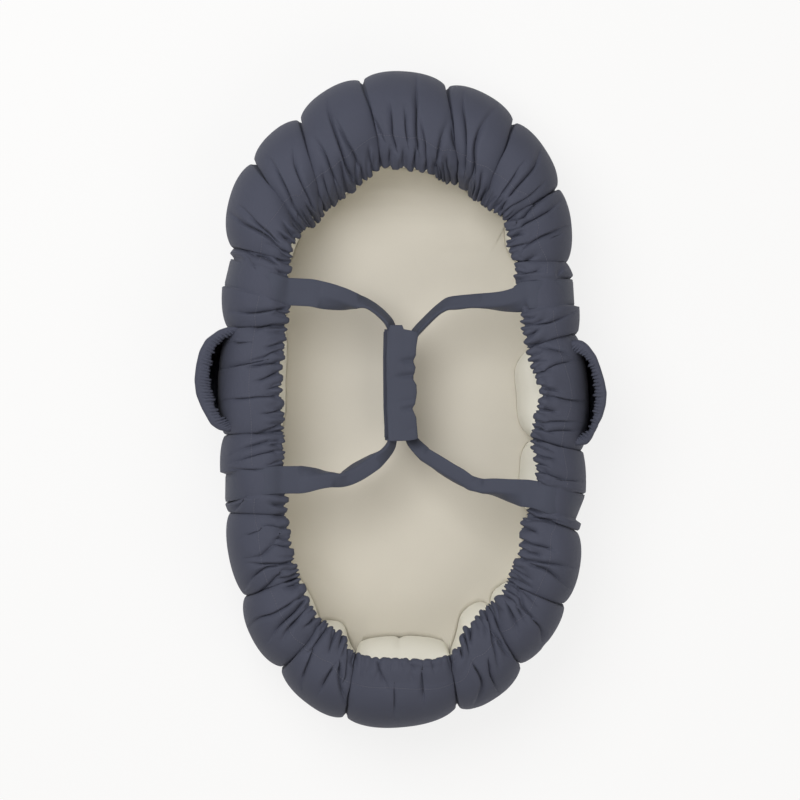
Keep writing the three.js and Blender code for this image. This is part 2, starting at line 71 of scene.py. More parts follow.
# The bumper as in the frame, with its rim as in the photograph
WALL_HEIGHT = 160 * MM
BUMPER_THICKNESS = 108 * MM  # where it is thickest, at the head
BUMPER_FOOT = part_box("bumper_channel_01")[0].z
COVER_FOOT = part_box("cover_head_panel")[0].z
HALF_HEIGHT = (WALL_HEIGHT - BUMPER_FOOT) / 2
CENTRE_HEIGHT = BUMPER_FOOT + HALF_HEIGHT
COVER_OUT = 2.5 * MM  # the cover's outside over the stuffed lobes
INNER_SWELL = 8 * MM
COVER_SWELL_SHARE = 0.7
CROWN_SWELL = 11 * MM
FULLNESS_POWER = 2.2
LOBE_ROOT = 0.8  # how round a stuffed lobe is towards its channels
COVER_ROOT = 0.6
SECTION_POWER = 2.3
LOWER_REACH = 1.12
FOOT_ANGLE = -70 * DEGREE
INNER_FOOT_ANGLE = 250 * DEGREE

# The scalloped edge in pixels, clockwise from the right of the head. Each row is a channel's outer
# end, its end at the rim, the rim halfway to the next channel, the swell of the lobe between them
# as a share of its chord, and the thickness there as a share of the bumper's.
CHANNELS = (
    ((446, 88), (459, 184), (474, 193), 0.18, 0.990),
    ((513, 123), (484, 199), (499, 209), 0.17, 0.944),
    ((555, 188), (508, 218), (513, 240), 0.16, 0.778),
    ((563, 263), (519, 262), (522, 302), 0.13, 0.583),
    ((573, 336), (531, 348), (544, 392), 0.10, 0.593),
    ((579, 449), (538, 440), (540, 478), 0.09, 0.639),
    ((575, 533), (531, 514), (525, 548), 0.15, 0.639),
    ((562, 602), (513, 583), (502, 599), 0.15, 0.667),
    ((519, 662), (491, 610), (469, 631), 0.22, 0.741),
    ((456, 705), (450, 657), (402, 662), 0.16, 0.815),
    ((346, 715), (355, 658), (338, 637), 0.19, 0.815),
    ((283, 665), (320, 625), (306, 602), 0.20, 0.741),
    ((248, 595), (296, 578), (287, 554), 0.13, 0.657),
    ((232, 513), (281, 515), (281, 475), 0.11, 0.639),
    ((227, 435), (278, 431), (275, 380), 0.10, 0.648),
    ((231, 329), (281, 325), (286, 300), 0.14, 0.648),
    ((236, 249), (287, 261), (289, 242), 0.20, 0.657),
    ((255, 163), (300, 227), (312, 219), 0.19, 0.880),
    ((301, 121), (324, 210), (347, 187), 0.18, 0.944),
    ((362, 82), (381, 164), (418, 164), 0.17, 1.000),
)
LOBES = len(CHANNELS)
FOOT_LOBE = 9
# The cover's panels: the first lobe that each one covers, and how many
PANELS = {"head": (17, 5), "right": (2, 7), "foot": (FOOT_LOBE, 1), "left": (10, 7)}
POCKET_LOBES = {"left": 14, "right": 4}
# How far the stuffed lobes show inside the rim, where they do, in millimetres
SHOWING_LOBES = {
    2: 7, 4: 32, 5: 24, 7: 10, 8: 20, FOOT_LOBE: 28, 10: 12, 11: 5, 14: 11, 15: 2, 16: 7,
}


def photo_place(pixel, height=OUTLINE_HEIGHT):
    """Plan place in the frame of what a pixel of the photograph shows at a height"""
    scale = (CAMERA_HEIGHT - height) / (CAMERA_HEIGHT - OUTLINE_HEIGHT)
    x, y = (centre + (value - centre) * scale for value, centre in zip(pixel, CAMERA_PIXEL))
    return np.array([(x - ORIGIN_PIXEL[0]) * PIXEL, (ORIGIN_PIXEL[1] - y) * PIXEL])


def photo_places(pixels, height=OUTLINE_HEIGHT):
    return np.array([photo_place(pixel, height) for pixel in pixels])


def mix(a, b, share):
    return a + (b - a) * share


def smooth(value, low=0.0, high=1.0):
    """From 0 at low to 1 at high, level at both ends"""
    share = np.clip((value - low) / (high - low), 0, 1)
    return share * share * (3 - 2 * share)


def signed_power(value, power):
    return np.sign(value) * np.abs(value) ** power


def unit(vectors):
    return vectors / np.maximum(np.linalg.norm(vectors, axis=-1, keepdims=True), 1e-12)


def joined(points, *facts):
    """Points with more values after their own"""
    return np.concatenate([points, *(fact[..., None] for fact in facts)], axis=-1)


def closed_curve(points, places):
    """Catmull-Rom curve through points at the whole places, closed"""
    whole = np.floor(places).astype(int)
    t = (places - whole)[:, None]
    a, b, c, d = (points[(whole + step) % len(points)] for step in (-1, 0, 1, 2))
    return 0.5 * (2 * b + (c - a) * t + (2 * a - 5 * b + 4 * c - d) * t**2
                  + (3 * b - a - 3 * c + d) * t**3)


def wander(places, length, spacing, seed):
    """Smooth random values from -1 to 1 along a closed line of that length"""
    knots = max(4, round(length / spacing))
    values = np.random.default_rng(seed).uniform(-1, 1, (knots, 1))
    return closed_curve(values, places / length * knots)[:, 0]


def line_places(points):
    """How far along their line points lie"""
    return np.concatenate([[0], np.cumsum(np.linalg.norm(np.diff(points, axis=0), axis=1))])


def column_places(points):
    """How far along their columns the points of a grid lie"""
    steps = np.linalg.norm(np.diff(points, axis=1), axis=2)
    return np.concatenate([np.zeros((len(points), 1)), np.cumsum(steps, axis=1)], axis=1)


def spaced(values, places, wanted):
    return np.stack([np.interp(wanted, places, column) for column in values.T], axis=1)


def respaced(line, count):
    """The same line as that many evenly spaced points"""
    places = line_places(line)
    return spaced(line, places, np.linspace(0, places[-1], count))


def convolved(values, kernel):
    kernel = kernel / kernel.sum()
    return np.stack([np.convolve(column, kernel, mode="valid") for column in values.T], axis=1)


def softened(values, reach):
    """Values smoothed along a line, with the ends kept"""
    before, after = np.repeat(values[:1], reach, 0), np.repeat(values[-1:], reach, 0)
    return convolved(np.concatenate([before, values, after]), np.hanning(2 * reach + 3)[1:-1])


def softened_ring(values, kernel):
    """Values smoothed along a closed line"""
    reach = len(kernel) // 2
    return convolved(np.concatenate([values[-reach:], values, values[:reach]]), kernel)


NOTCHES = photo_places([row[0] for row in CHANNELS])
CHORDS = np.linalg.norm(np.roll(NOTCHES, -1, axis=0) - NOTCHES, axis=1)
RIM_POINTS = photo_places([place for row in CHANNELS for place in row[1:3]], RIM_HEIGHT)
SWELLS = np.array([row[3] for row in CHANNELS])
THICKNESS = np.array([row[4] for row in CHANNELS]) * BUMPER_THICKNESS
SHOWING = np.array([SHOWING_LOBES.get(lobe, 0) for lobe in range(LOBES)]) * MM
RIM_WAVE = 2.8 * MM  # how far the gathered rim runs in and out
RIM_WAVE_LENGTH = 0.2  # in lobes


def stations(lobes, shares, stuffed=False):
    """What the bumper measures at shares of the way along lobes, over its cover or as stuffed"""
    lobes = np.asarray(lobes) % LOBES
    after = (lobes + 1) % LOBES
    start, end = NOTCHES[lobes], NOTCHES[after]
    base = mix(start, end, shares[:, None])
    reach = closed_curve(RIM_POINTS, 2 * (lobes + shares)) - base
    length = np.linalg.norm(reach, axis=1)
    inward = reach / length[:, None]
    hollow = np.abs(2 * shares - 1) ** FULLNESS_POWER
    fullness = (1 - hollow) ** (LOBE_ROOT if stuffed else COVER_ROOT)
    wave = RIM_WAVE * wander(lobes + shares, LOBES, RIM_WAVE_LENGTH, seed=17)
    chord = CHORDS[lobes]
    square = np.stack([start[:, 1] - end[:, 1], end[:, 0] - start[:, 0]], axis=1) / chord[:, None]
    return SimpleNamespace(
        lobes=lobes, shares=shares, inward=inward,
        skew=square + inward,  # from the channels' direction to square to the chord
        base=base + inward * COVER_OUT,
        half=mix(THICKNESS[lobes], THICKNESS[after], shares) / 2,
        rim=length - COVER_OUT + wave,
        wave=wave,
        out_swell=SWELLS[lobes] * chord * fullness,
        in_swell=INNER_SWELL * (fullness if stuffed else np.full_like(fullness, COVER_SWELL_SHARE)),
        crown=CROWN_SWELL * fullness,
        fullness=fullness,
    )


def section(at, angles, offset):
    """Inset and height of the bumper's section at angles, grown by an offset"""
    across = signed_power(np.cos(angles), 2 / SECTION_POWER)
    upward = signed_power(np.sin(angles), 2 / SECTION_POWER)
    half, crown = at.half[:, None], at.crown[:, None]
    swell = np.where(across > 0, at.out_swell[:, None], at.in_swell[:, None])
    inset = half - across * (half + offset + swell)
    rise = np.where(upward > 0, HALF_HEIGHT + crown + offset, HALF_HEIGHT * LOWER_REACH + offset)
    return inset, np.maximum(CENTRE_HEIGHT + upward * rise, BUMPER_FOOT)


def in_space(at, inset, height):
    """Points at an inset from the channels, as columns of points"""
    plan = at.base[:, None, :] + at.inward[:, None, :] * inset[..., None]
    outside = at.out_swell[:, None] * np.clip(1 - inset / at.half[:, None], 0, 1)
    return joined(plan + at.skew[:, None, :] * outside[..., None], height)


RIM_RADIUS = 5 * MM
RIM_SPREAD = 4.8 * MM  # from the cover's end on the lobes to the rim's centre
RIM_SEAT = 3.6 * MM  # from the lobes up to the rim's centre
RIM_REACH_SHARE = 0.96  # how far down the inner side the rim can lie


def rim_angles(at):
    across = (at.rim - RIM_RADIUS - at.half) / (at.half + COVER_SWELL_SHARE * INNER_SWELL)
    across = np.clip(across, -RIM_REACH_SHARE, RIM_REACH_SHARE)
    return np.pi - np.arccos(signed_power(across, SECTION_POWER / 2))


def round_rim(at, angles, radius):
    """Rings of points round the rim's centre, from over it at angle 0 towards the inside"""
    ends = rim_angles(at)[:, None]
    here = np.concatenate(section(at, ends, 0), axis=1)
    beyond = np.concatenate(section(at, ends + 1 * DEGREE, 0), axis=1)
    along = unit(beyond - here)
    away = np.stack([-along[:, 1], along[:, 0]], axis=1)
    centre = here + along * RIM_SPREAD + away * RIM_SEAT
    inset, height = (
        centre[:, axis, None] + along[:, axis, None] * radius * np.sin(angles)
        + away[:, axis, None] * radius * np.cos(angles) for axis in (0, 1))
    return in_space(at, inset, height)


def even_rows(columns, rows, crowding):
    """The same columns with as many points as rows, nearer to each other towards the end.

    What each point carries after its place is spread with it.
    """
    share = np.linspace(0, 1, rows)
    share = share * (1 + crowding * (1 - share))
    places = column_places(columns[..., :3])
    return np.array([spaced(*pair, share * pair[1][-1]) for pair in zip(columns, places)])


def ring_angles(count):
    return np.linspace(0, 2 * np.pi, count, endpoint=False)[None, :]


def sideways_of(points):
    """Directions along a closed grid's columns"""
    return unit(np.roll(points, -1, axis=0) - np.roll(points, 1, axis=0))


# Materials


class Nodes:
    """A node tree with short calls to add to it"""

    def __init__(self, tree):
        self.tree = tree

    def add(self, kind, **settings):
        node = self.tree.nodes.new(kind)
        for key, value in settings.items():
            if key in node.inputs:
                node.inputs[key].default_value = value
            else:
                setattr(node, key, value)
        return node

    def link(self, source, target):
        self.tree.links.new(source, target)

    def math(self, operation, a, b=0.0):
        node = self.add("ShaderNodeMath", operation=operation)
        for socket, value in zip(node.inputs, (a, b)):
            if isinstance(value, bpy.types.NodeSocket):
                self.link(value, socket)
            else:
                socket.default_value = value
        return node.outputs[0]

    def total(self, *parts):
        """The sum of sockets times their shares"""
        products = [self.math("MULTIPLY", *part) for part in parts]
        result = products[0]
        for product in products[1:]:
            result = self.math("ADD", result, product)
        return result

    def noise(self, place, scale, detail):
        node = self.add("ShaderNodeTexNoise", Scale=scale, Detail=detail)
        self.link(place, node.inputs["Vector"])
        return node.outputs["Fac"]

    def seen(self):
        """1 for what the camera, mirrors and glass see, and 0 for what lights the object"""
        path = self.add("ShaderNodeLightPath")
        result = path.outputs["Is Camera Ray"]
        for kind in ("Is Glossy Ray", "Is Transmission Ray"):
            result = self.math("MAXIMUM", result, path.outputs[kind])
        return result


def new_material(name, **settings):
    """A material, its nodes and its shader with settings such as Sheen_Weight"""
    material = bpy.data.materials.new(name)
    material.use_nodes = True
    shader = material.node_tree.nodes["Principled BSDF"]
    for key, value in settings.items():
        shader.inputs[key.replace("_", " ")].default_value = value
    return material, Nodes(material.node_tree), shader


SLUB_SCALE = 900.0
CLOUD_SCALE = 14.0
SLUB_ROUGHNESS = 0.16  # how far the roughness changes with the slubs
RELIEF = 0.4 * MM
TONE_SHARES = (0.12, 0.45, 0.55)  # of the weave, the slubs and the clouds in the shade
RELIEF_SHARES = (0.5, 1.0)  # of the weave and the slubs in the relief


def woven(name, colour, thread, contrast, roughness, sheen, bump, by_uv=True):
    """Woven cloth: threads both ways, slubs, and slow shade changes"""
    material, nodes, shader = new_material(
        name, Sheen_Weight=sheen, Sheen_Roughness=0.45, Specular_IOR_Level=0.2)
    place = nodes.add("ShaderNodeTexCoord")
    spot = place.outputs["Object"]
    split = nodes.add("ShaderNodeSeparateXYZ")
    nodes.link(place.outputs["UV"] if by_uv else spot, split.inputs[0])
    turn = 2 * np.pi / thread
    warp, weft = (
        nodes.math("SINE", nodes.math("MULTIPLY", split.outputs[axis], turn)) for axis in "XY")
    weave = nodes.math("MULTIPLY", warp, weft)
    slub, cloud = nodes.noise(spot, SLUB_SCALE, 2.0), nodes.noise(spot, CLOUD_SCALE, 4.0)
    ramp = nodes.add("ShaderNodeValToRGB")
    nodes.link(nodes.total(*zip((weave, slub, cloud), TONE_SHARES)), ramp.inputs["Fac"])
    stops = ((0.2, 1 - contrast), (0.8, 1 + contrast))
    for element, (position, share) in zip(ramp.color_ramp.elements, stops):
        element.position = position
        element.color = (*(channel * share for channel in colour), 1)
    nodes.link(ramp.outputs["Color"], shader.inputs["Base Color"])
    rough = nodes.math(
        "ADD", nodes.math("MULTIPLY", slub, SLUB_ROUGHNESS), roughness - SLUB_ROUGHNESS / 2)
    nodes.link(rough, shader.inputs["Roughness"])
    relief = nodes.add("ShaderNodeBump", Strength=bump, Distance=RELIEF)
    nodes.link(nodes.total(*zip((weave, slub), RELIEF_SHARES)), relief.inputs["Height"])
    nodes.link(relief.outputs[0], shader.inputs["Normal"])
    return material


# Each cloth: colour, thread, contrast, roughness, sheen and bump
SLATE = (0.064, 0.070, 0.102)
STRAP_SLATE = (0.060, 0.067, 0.097)
THREAD_SLATE = (0.105, 0.11, 0.145)
# The lobes and the mattress are one cream cotton: the lobes' colour is painted lighter, as lit, and
# the mattress's darker, as shaded
LIT_COPY_CREAM = (0.82, 0.805, 0.725)
SHADED_COPY_CREAM = (0.64, 0.61, 0.54)
materials = SimpleNamespace(
    slate=woven("slate_cotton", SLATE, 0.8 * MM, 0.10, 0.72, 0.04, 0.25),
    thread=woven("sewing_thread", THREAD_SLATE, 0.5 * MM, 0.10, 0.60, 0.10, 0.20),
    strap=woven("strap_webbing", STRAP_SLATE, 1.2 * MM, 0.10, 0.70, 0.08, 0.35),
    # the lobes' cream is painted lighter, as lit; the mattress's is painted darker, as shaded
    cream=woven("cream_cotton", LIT_COPY_CREAM, 0.6 * MM, 0.03, 0.60, 0.08, 0.12),
    mattress=woven("cream_cotton_shaded_copy", SHADED_COPY_CREAM, 0.6 * MM, 0.03, 0.60, 0.08, 0.12),
    elastic=woven("elastic_band", (0.42, 0.42, 0.41), 1.5 * MM, 0.10, 0.75, 0.05, 0.4, False),
    board=woven("stiff_board", (0.36, 0.30, 0.22), 3.0 * MM, 0.12, 0.85, 0.0, 0.3, False),
    wadding=woven("wadding", (0.78, 0.78, 0.75), 4.0 * MM, 0.05, 0.9, 0.2, 0.5, False),
    fastener=woven("touch_fastener", (0.05, 0.055, 0.08), 1.3 * MM, 0.25, 0.8, 0.1, 0.8, False),
)


# Meshes


def add_piece(name, points, faces, material, uvs=None):
    mesh = bpy.data.meshes.new(name)
    mesh.from_pydata(points.reshape(-1, 3).tolist(), [], faces)
    mesh.materials.append(material)
    mesh.shade_smooth()
    if uvs is not None:
        layer = mesh.uv_layers.new(name="UVMap")
        corners = np.empty(len(mesh.loops), dtype=np.int32)
        mesh.loops.foreach_get("vertex_index", corners)
        layer.data.foreach_set("uv", uvs.reshape(-1, 2)[corners].astype(np.float32).ravel())
    piece = bpy.data.objects.new(name, mesh)
    bpy.context.scene.collection.objects.link(piece)
    return piece


def grid_faces(columns, rows, closed_columns=False, closed_rows=False):
    """Quads between the points of a grid"""
    column = np.arange(columns if closed_columns else columns - 1)
    row = np.arange(rows if closed_rows else rows - 1)
    here, up = np.meshgrid(column, row, indexing="ij")
    beside, above = (here + 1) % columns * rows, (up + 1) % rows
    here = here * rows
    quads = np.stack([here + up, beside + up, beside + above, here + above], axis=-1)
    return quads.reshape(-1, 4).tolist()


def grid_uvs(points):
    """Cloth lengths along and across a grid, in metres"""
    along = line_places(points[:, points.shape[1] // 2])
    along = np.repeat(along[:, None, None], points.shape[1], axis=1)
    return joined(along, column_places(points))


def sheet_piece(name, points, material):
    """An open sheet from a grid of points"""
    return add_piece(name, points, grid_faces(*points.shape[:2]), material, grid_uvs(points))


def tube_piece(name, rings, material, closed=False):
    """A closed body from rings of points, with flat ends or bent round to meet itself"""
    columns, rows = rings.shape[:2]
    faces = grid_faces(columns, rows, closed_columns=closed, closed_rows=True)
    if not closed:
        faces.append(list(range(rows)))
        faces.append([(columns - 1) * rows + n for n in reversed(range(rows))])
    return add_piece(name, rings, faces, material, grid_uvs(rings))


def capped_piece(name, points, material):
    """A closed body whose columns stand in a ring, with flat faces over and under them"""
    columns, rows = points.shape[:2]
    faces = grid_faces(columns, rows, closed_columns=True)
    faces.append([n * rows for n in reversed(range(columns))])
    faces.append([n * rows + rows - 1 for n in range(columns)])
    return add_piece(name, points, faces, material, points[..., :2])


def finish_piece(piece, body, nodes=()):
    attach(piece, body)
    if nodes:
        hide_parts(*nodes)


def bend_piece(piece, nodes):
    """Puts strap cloth in place of nodes, with its placement baked into its points"""
    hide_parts(*nodes)
    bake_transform(piece)


# Sizes of the straps, which the cover lies flatter under


STRAP_HALF_WIDTH = 17.5 * MM
STRAP_THICKNESS = 1.8 * MM
STRAP_LEVEL = (-3.0 * MM, 6.6 * MM)  # its underside over the section, outside and at the rim
STRAP_STEP = 2.2 * MM
STRAP_SAMPLES = 29
WIDTH_SHARE = 1.06  # what the softened folds take off the width
RUN_SPACING = 18 * MM
RUN_DROP = 11 * MM
RUN_SHARE = 0.85  # of the way across to the run in the grip, where a leg reaches it
RUN_START = 14 * MM  # how far in it does
RUN_WIDTH = 7.5 * PIXEL
joints = {joint["name"]: joint for joint in frame["record"]["behaviour"]["joints"]}
LEFT_LIFT = np.array(joints["left_handle_lift"]["pos_m"])
RIGHT_LIFT = np.array(joints["right_handle_lift"]["pos_m"])
LEFT_RUN = np.array(joints["grip_level"]["pos_m"])
RIGHT_RUN = LEFT_RUN + np.array([RUN_SPACING, 0, -RUN_DROP])

# Each leg: its lobe, its place along the lobe outside and at the rim, and its free stretch up to
# the grip as pixels with the width seen from above, also in pixels. The lower leg comes first.
LEFT_LEGS = (
    SimpleNamespace(lobe=13, outer=0.33, inner=0.445, free=(
        (303, 479.5, 26.5), (317, 479, 20.5), (330, 480.3, 13.5), (340, 481.5, 11.5),
        (347.5, 479.5, 13), (358.5, 472.5, 16), (368, 467, 15), (378, 461, 13), (387, 453, 10.5),
        (392.5, 445, 9.5))),
    SimpleNamespace(lobe=15, outer=0.71, inner=0.61, free=(
        (312, 293.5, 27.5), (330, 296.5, 25), (346, 299.2, 20), (353, 300, 15.5),
        (361, 300.8, 10.5), (368, 303, 9), (377.5, 309.3, 8.8), (386, 317, 8.8),
        (391.5, 324, 9))),
)
RIGHT_LEGS = (
    SimpleNamespace(lobe=5, outer=0.71, inner=0.72, free=(
        (525, 493.3, 27.5), (510.5, 490.5, 23), (494, 486.6, 17), (480, 484.7, 11.5),
        (472, 482.5, 13), (463, 478, 17), (452, 472, 17), (440, 464.5, 17), (430, 457, 14.5),
        (421, 449.5, 11), (413.5, 442, 9))),
    SimpleNamespace(lobe=3, outer=0.43, inner=0.43, free=(
        (520, 299.7, 25), (506, 301.2, 19.5), (495, 301, 16.5), (483, 300, 13), (470, 300.5, 12),
        (458, 301.8, 12.5), (448, 302.5, 11.5), (437, 309.5, 9), (429, 317, 8.8), (420, 326, 8.8),
        (414.5, 332, 8.8))),
)


# Cover: fine columns round the ring, and rows from the base seam over the bumper and round the rim


COLUMN_SPACING = 1.35 * MM
COVER_ROWS = 112
ROW_CROWDING = 0.4
SECTION_SAMPLES = 150
ROLL_SAMPLES = 24
CLOTH_CLEAR = 1.6 * MM  # the smooth cover over the bumper's measured section
CLOTH_GAP = 0.9 * MM  # the least that stays between the cloth and what it covers
LOBE_EASE = 8.0 * MM  # how far the stuffed lobes stay inside the section where they are covered
EASE_FADE = 40 * DEGREE  # before the rim
RIM_RISE = 6.0 * MM  # how far the gathered cloth piles up towards the rim
RISE_REACH = (6 * MM, 32 * MM)
ROLL_START = -20 * DEGREE  # round the rim, the cloth goes from here
ROLL_END = 150 * DEGREE  # to here, where it is tucked under
ROLL_RADIUS = 5.4 * MM
CASING_RADIUS = 2.1 * MM
ELASTIC_RADIUS = 1.2 * MM


def ring_columns():
    """Lobe and share of each column, spaced about evenly along the outer edge"""
    lobes, shares = [], []
    for lobe, chord in enumerate(CHORDS):
        count = 2 * round(1.1 * chord / COLUMN_SPACING / 2)
        lobes += [lobe] * count
        shares += list(np.arange(count) / count)
    return np.array(lobes), np.array(shares)


def lobe_ease(angles, ends):
    """How far inside the section the stuffed lobes stay"""
    return LOBE_EASE * (1 - smooth(angles, ends - EASE_FADE, ends))


def cover_base(at, edge):
    """The smooth cover's points, each with the room under it and how far it is off the section"""
    ends = rim_angles(at)[:, None]
    angles = mix(FOOT_ANGLE, ends, np.linspace(0, 1, SECTION_SAMPLES)[None, :])
    plan = in_space(at, *section(at, angles, 0))[..., :2]
    gap = np.linalg.norm(plan - edge[:, None, :2], axis=2)
    stand = CLOTH_CLEAR + RIM_RISE * (1 - smooth(gap, *RISE_REACH))
    columns = in_space(at, *section(at, angles, stand))
    columns[:, 0, 2] = COVER_FOOT
    columns = joined(columns, stand + lobe_ease(angles, ends), stand)
    turns = np.linspace(ROLL_START, ROLL_END, ROLL_SAMPLES)[None, :]
    stand = (RIM_SEAT + ROLL_RADIUS * np.cos(turns)).repeat(len(ends), axis=0)
    room = np.full_like(stand, ROLL_RADIUS - CASING_RADIUS)
    roll = joined(round_rim(at, turns, ROLL_RADIUS), room, stand)
    return even_rows(np.concatenate([columns, roll], axis=1), COVER_ROWS, ROW_CROWDING)


# The main folds in pixels, from the rim outwards, each with its depth in millimetres first
FOLDS = (
    (11, (353, 182), (344, 161), (337, 142), (330, 121), (327, 103)),
    (10, (360, 167), (354, 152), (347, 142), (337, 121)),
    (9, (337, 181), (332, 172), (326, 154), (314, 139)),
    (9, (312, 207), (303, 188), (295, 170), (294, 147)),
    (9, (296, 212), (289, 193), (280, 175), (271, 159)),
    (9, (397, 149), (393, 137), (392, 117), (389, 103)),
    (7, (407, 142), (405, 131), (405, 108)),
    (7, (384, 137), (374, 117)),
    (11, (419, 152), (416, 136), (417, 111), (417, 78)),
    (9, (436, 163), (438, 150), (441, 138), (448, 120)),
    (7, (454, 145), (451, 129)),
    (10, (465, 171), (466, 152), (466, 125), (462, 105), (465, 92)),
    (10, (469, 182), (473, 168), (473, 145), (480, 127), (494, 108)),
    (8, (476, 175), (476, 152)),
    (10, (509, 198), (522, 183), (536, 168), (540, 152)),
    (6, (500, 195), (513, 177), (520, 166)),
    (9, (518, 222), (528, 213), (537, 204), (551, 196)),
    (9, (519, 229), (532, 222), (551, 211), (560, 201)),
    (9, (525, 249), (528, 244), (546, 234), (564, 226)),
    (4, (554, 238), (560, 235)),
    (8, (558, 280), (560, 267)),
    (7, (523, 275), (530, 273), (541, 269)),
    (7, (525, 261), (537, 255)),
    (8, (528, 327), (546, 325), (554, 322), (572, 313)),
    (7, (539, 347), (562, 352), (576, 360)),
    (7, (545, 369), (555, 365), (576, 361)),
    (6, (542, 397), (557, 395)),
    (6, (542, 422), (558, 420), (577, 422)),
    (7, (548, 431), (577, 431)),
    (6, (558, 481), (580, 482)),
    (7, (527, 516), (544, 517), (561, 520)),
    (8, (524, 558), (544, 562), (559, 564), (572, 568)),
    (10, (528, 565), (545, 569), (556, 577), (567, 588)),
    (10, (518, 588), (523, 606), (537, 620)),
    (7, (523, 591), (535, 604)),
    (10, (532, 619), (541, 629), (542, 645)),
    (9, (507, 605), (514, 618), (517, 633)),
    (7, (517, 608), (524, 620)),
    (8, (490, 627), (499, 638), (509, 656)),
    (9, (496, 640), (510, 659)),
    (9, (488, 661), (489, 673), (498, 692)),
    (10, (473, 664), (482, 681), (482, 687), (474, 705)),
    (8, (377, 661), (384, 678), (387, 684)),
    (5, (394, 687), (394, 715)),
    (6, (411, 664), (416, 670)),
    (9, (422, 671), (424, 699)),
    (6, (432, 661), (433, 668)),
    (10, (339, 664), (339, 681), (343, 699), (350, 706)),
    (9, (332, 667), (321, 689)),
    (8, (313, 650), (303, 673), (302, 687)),
    (10, (305, 609), (288, 628), (282, 640)),
    (10, (305, 600), (291, 614), (277, 628), (270, 640)),
    (8, (294, 600), (271, 614), (260, 615), (250, 626)),
    (9, (279, 573), (268, 584), (254, 594)),
    (9, (279, 566), (267, 567), (254, 576), (247, 587)),
    (8, (278, 536), (274, 543), (261, 555), (250, 557)),
    (4, (257, 531), (246, 536)),
    (7, (243, 501), (235, 510)),
    (7, (281, 440), (268, 441), (247, 447), (233, 454)),
    (7, (265, 396), (228, 400)),
    (7, (265, 361), (220, 370)),
    (6, (246, 343), (232, 343)),
    (7, (275, 323), (265, 326), (250, 331)),
    (9, (286, 309), (272, 311), (258, 314), (247, 314), (234, 312)),
    (8, (254, 267), (249, 259), (243, 255)),
    (9, (276, 265), (272, 262), (264, 256), (256, 256), (249, 252), (240, 250)),
    (10, (278, 247), (270, 239), (258, 232), (243, 225), (231, 213)),
    (9, (278, 242), (271, 233), (259, 224), (244, 208)),
)
FOLD_POINTS = 13
FOLD_SPACING = (8 * MM, 19 * MM)
LONG_SHARE = 0.12  # share of the other folds that run far over the lobes
LONG_FOLDS = ((45 * MM, 75 * MM), (5.0 * MM, 8.0 * MM))  # their reach and depth
SHORT_FOLDS = ((16 * MM, 34 * MM), (4.0 * MM, 8.0 * MM))
STEEP_SIDE = (2.8 * MM, 3.6 * MM)  # its width at the rim and at the fold's end
GENTLE_SIDE = (5.0 * MM, 11.0 * MM)
VALLEY_POWER = 1.7
FOLD_RIDGE = 3.0 * MM
FOLDS_HEIGHT = 0.15
FOLD_LEAN = 0.35  # how far a ridge leans over beside its height
PINCH = 2.0 * MM  # how far the sides of a fold close in over its valley
PINCH_REACH = 3.2 * MM
FOLD_SLANT = 0.12
FOLD_CURVE = 0.9  # in 1/m, how much the other folds bend
FADE_START = 0.45  # share of a main fold's length from which it gets shallower
FADE_SHARE = 0.75  # share of its depth that it loses
CLOCKWISE_SHARE = 0.7  # share of the other folds that are steep on their clockwise side
NUB_HEIGHT = 3.6 * MM  # the most that the gathers stand out over the rim
RIDGE_HEIGHT = 10 * MM  # the same away from the rim
GATHER_SPACING = (6.5 * MM, 15 * MM)
GATHER_DEPTH = 5.5 * MM
GATHER_REACH = 20 * MM
GATHER_SLANT = 0.5
CROSSING_SPACING = (8 * MM, 16 * MM)
CROSSING_DEPTH = 3.5 * MM
FOOT_CALM = 0.3  # how much calmer the foot panel is
CALM_COLUMNS = 13
SEAM_DEPTH = (1.0 * MM, 4.5 * MM)  # outside and on top
SEAM_HALF_WIDTH = 4.0 * MM
SEAM_BEND = 5.0 * MM
STRAP_GAP = 1.2 * MM  # from a strap down to the cloth under it
SOFTEN_ROUNDS = 4
SOFTEN_SHARE = 0.6
BEAD_SIZES = (0.35, 1)
BEAD_POWER = 0.55
BEAD_MIDDLE = 0.6  # the height of a bead that lies level with the smooth cover
# How far along the rim it takes them to turn
SEAM_BEND_LENGTH = 80 * MM
GATHER_LENGTH = 16 * MM
CROSSING_LENGTH = 30 * MM
LEAN_LENGTH = 70 * MM
# Distances from the rim between which these start or end
SEAM_BEND_START = (0, 35 * MM)
SEAM_BEND_END = (60 * MM, 105 * MM)
NUB_END = (3 * MM, 16 * MM)
CROSSING_START = (2 * MM, 8 * MM)
SEAM_CALM_START = (25 * MM, 45 * MM)
RIDGE_END = (40 * MM, 120 * MM)
PINCH_START = (0, 12 * MM)
# Heights between which the main folds and the bumper's top start
MAIN_FOLD_START = (40 * MM, 70 * MM)
TOP_START = (60 * MM, 130 * MM)
BESIDE_SEAM = (1 * MM, 7 * MM)  # from a seam, where the other folds start
BESIDE_STRAP = (STRAP_HALF_WIDTH - 1 * MM, STRAP_HALF_WIDTH + 7 * MM)  # and the free cloth


def valley_places(length, spacing, seed):
    """Random places round a closed line, at least a spacing apart"""
    steps = np.random.default_rng(seed).uniform(*spacing, int(2 * length / sum(spacing)))
    return np.cumsum(steps) * length / steps.sum()


def beads(places, length, spacing, seed):
    """Rounded ridges of uneven width with sharp valleys between, from 0 to 1"""
    valleys = np.concatenate([[0], valley_places(length, spacing, seed)])
    sizes = np.random.default_rng(seed + 1).uniform(*BEAD_SIZES, len(valleys))
    places = places % length
    n = np.clip(np.searchsorted(valleys, places, side="right") - 1, 0, len(valleys) - 2)
    share = (places - valleys[n]) / (valleys[n + 1] - valleys[n])
    return sizes[n] * np.abs(np.sin(np.pi * share)) ** BEAD_POWER


def valley(gap, half_width):
    """Depth share across a fold: rounded shoulders and a sharp bottom"""
    return np.clip(1 - np.abs(gap) / half_width, 0, 1) ** VALLEY_POWER


